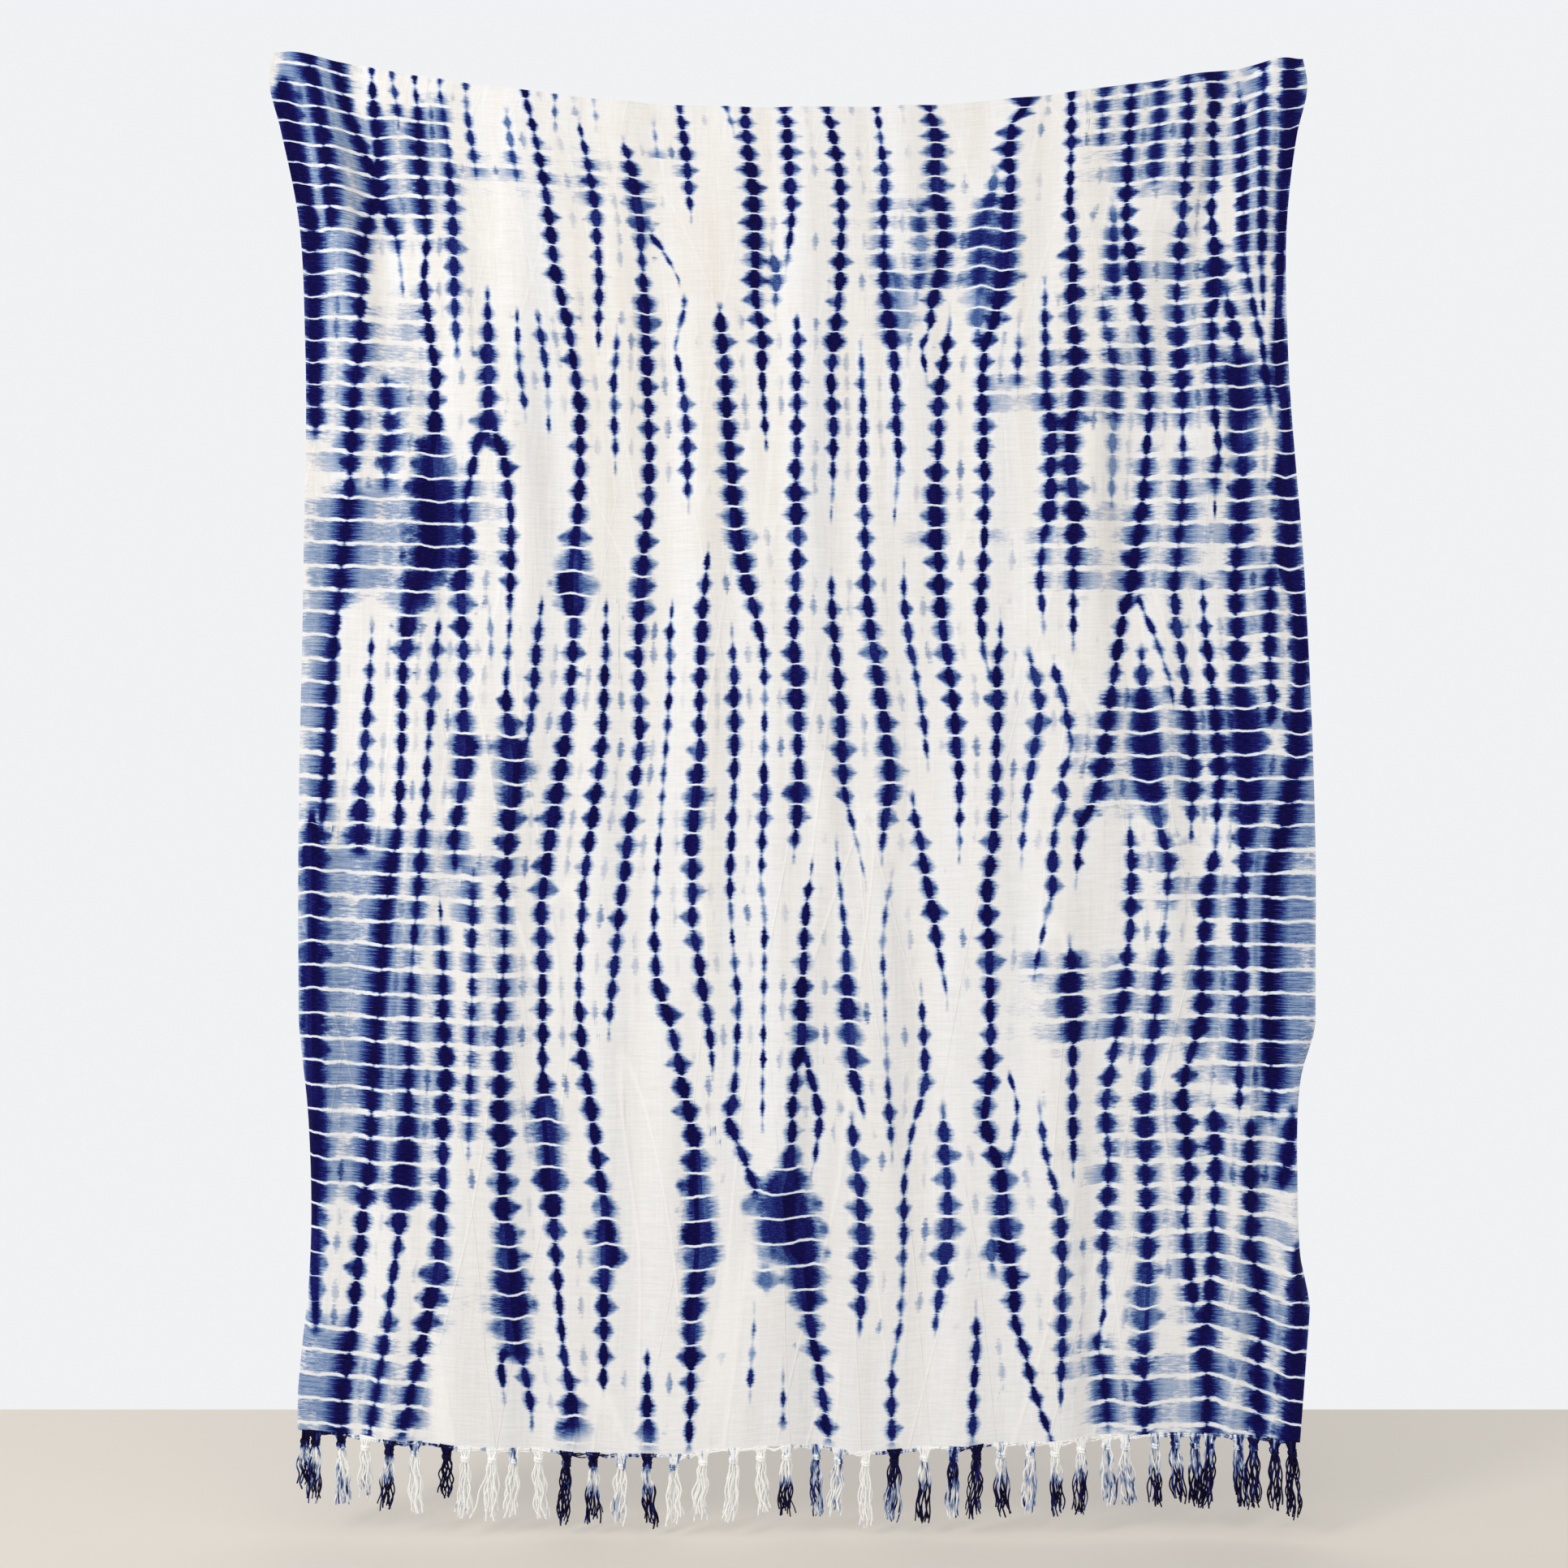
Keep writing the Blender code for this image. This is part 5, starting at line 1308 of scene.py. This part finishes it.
# %% Last wefts along the hem
WEFTS = 3
WEFT_POINTS = 190
WEFT_MARGIN = 6 * MM  # the wefts end this far inside the selvedges
WEFT_DYE = 0.8  # of the tone of the necks
deselect_all()
bpy.ops.curve.primitive_bezier_curve_add()
wefts = bpy.context.object
wefts.name = "last_wefts"
wefts.data.splines.clear()
wefts.data.bevel_depth = 0.9 * MM
wefts.data.bevel_resolution = 0
wefts.data.resolution_u = 2
across_hem = np.linspace(EDGES[-1].left + WEFT_MARGIN, EDGES[-1].right - WEFT_MARGIN, WEFT_POINTS)
for strand in range(WEFTS):
    spline = wefts.data.splines.new("NURBS")
    spline.points.add(len(across_hem) - 1)
    strays = np.abs(rng.normal(0.0, 2.2, len(across_hem)))
    places = []
    for x, stray in zip(across_hem, strays):
        hem = hem_at(x)
        places.append((x, hem[1] + rng.uniform(-1.2, 1.2) * MM, hem[2] + (1.0 - strand - stray) * MM, 1.0))
    spline.points.foreach_set("co", np.array(places).ravel())
    spline.use_endpoint_u = True
    spline.order_u = 3
bpy.ops.object.convert(target="MESH")
wefts = bpy.context.object
weft_places = np.empty(len(wefts.data.vertices) * 3)
wefts.data.vertices.foreach_get("co", weft_places)
weft_x_mm = weft_places[::3] / MM
necks = np.interp(weft_x_mm, [bundle.x_mm for bundle in BUNDLES], [bundle.neck for bundle in BUNDLES])
carry(wefts.data, "dye", necks * WEFT_DYE)
print("points along the hem:", len(wefts.data.vertices))

# %% All the bundles
bundles = [wefts]
for number, bundle in enumerate(BUNDLES):
    tied = add_yarns(bundle, f"fringe_bundle_{number}")
    carry(tied.data, "dye", dye_of(bundle, tied.data))
    bundles.append(tied)
print("bundles tied:", len(bundles) - 1)

# %% Join the bundles
deselect_all()
for tied in bundles:
    tied.select_set(True)
bpy.context.view_layer.objects.active = bundles[0]
bpy.ops.object.join()
fringe = bpy.context.object
fringe.name = "knotted_fringe"
bpy.ops.object.shade_smooth()
print("fringe triangles:", sum(len(p.vertices) - 2 for p in fringe.data.polygons))

# %% [markdown]
# ## Dye the fringe
#
# The yarns took the same indigo as the cloth, so they share its ramp. Their cotton is painted whiter than the
# cloth's, a painted lift against the shade that the yarns cast on each other. The chart says how deep each
# bundle sat in the dye, and a blot that is long along the yarn breaks this up. The twist of the yarn is a
# fine relief, and it also makes the shine uneven.

# %% Fringe: cotton yarn, part dyed
# Painted light: the yarn's white is lighter than the cloth's cotton, to make up for the shade between the
# yarns
LIT_YARN_WHITE = "fffefa"
yarn = bpy.data.materials.new("twisted cotton yarn, part dyed with indigo")
yarn.use_nodes = True
yarn_tree = yarn.node_tree
yarn_shader = yarn_tree.nodes["Principled BSDF"]
yarn_dye = add_node(yarn_tree, "Attribute", attribute_name="dye", out="Fac")
yarn_place = add_node(yarn_tree, "TexCoord", out="Object")
blot_at = add_node(yarn_tree, "VectorMath", {0: yarn_place, 1: (230.0, 230.0, 42.0)}, operation="MULTIPLY")
blot = add_node(yarn_tree, "TexNoise", {"Vector": blot_at, "Scale": 1.0, "Detail": 2.0})
blot = add_node(yarn_tree, "MapRange", {0: blot, 1: 0.3, 2: 0.7, 3: -0.36, 4: 0.36})
yarn_depth = add_node(yarn_tree, "Math", {0: yarn_dye, 1: blot}, operation="ADD")
depth_range = {0: yarn_depth, 1: 0.18, 2: 0.95}
yarn_depth = add_node(yarn_tree, "MapRange", depth_range, interpolation_type="SMOOTHSTEP")
yarn_indigo = add_node(yarn_tree, "ValToRGB", {0: yarn_depth})
set_stops(yarn_indigo.node.color_ramp, (Stop(at=0.0, colour=LIT_YARN_WHITE), *INDIGO[1:]))
yarn_tree.links.new(yarn_indigo, yarn_shader.inputs["Base Color"])
twist_at = add_node(yarn_tree, "VectorMath", {0: yarn_place, 1: (900.0, 900.0, 2600.0)}, operation="MULTIPLY")
twist = add_node(yarn_tree, "TexNoise", {"Vector": twist_at, "Scale": 1.0, "Detail": 1.0})
twist_bump = add_node(yarn_tree, "Bump", {"Height": twist, "Distance": 0.3 * MM, "Strength": 0.5})
yarn_tree.links.new(twist_bump, yarn_shader.inputs["Normal"])
twist_rough = add_node(yarn_tree, "MapRange", {0: twist, 3: 0.82, 4: 0.98})
yarn_tree.links.new(twist_rough, yarn_shader.inputs["Roughness"])
yarn_shader.inputs["Specular IOR Level"].default_value = 0.18
fringe.data.materials.clear()
fringe.data.materials.append(yarn)
print("nodes in the yarn:", len(yarn_tree.nodes))

# %% [markdown]
# ## Hand over
#
# The sheet and its fringe stand for the two solids of the frame. They hang on the one body that there is.

for piece in (gauze_sheet, fringe):
    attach(piece, "root")
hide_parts("cloth")
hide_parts("fringe")
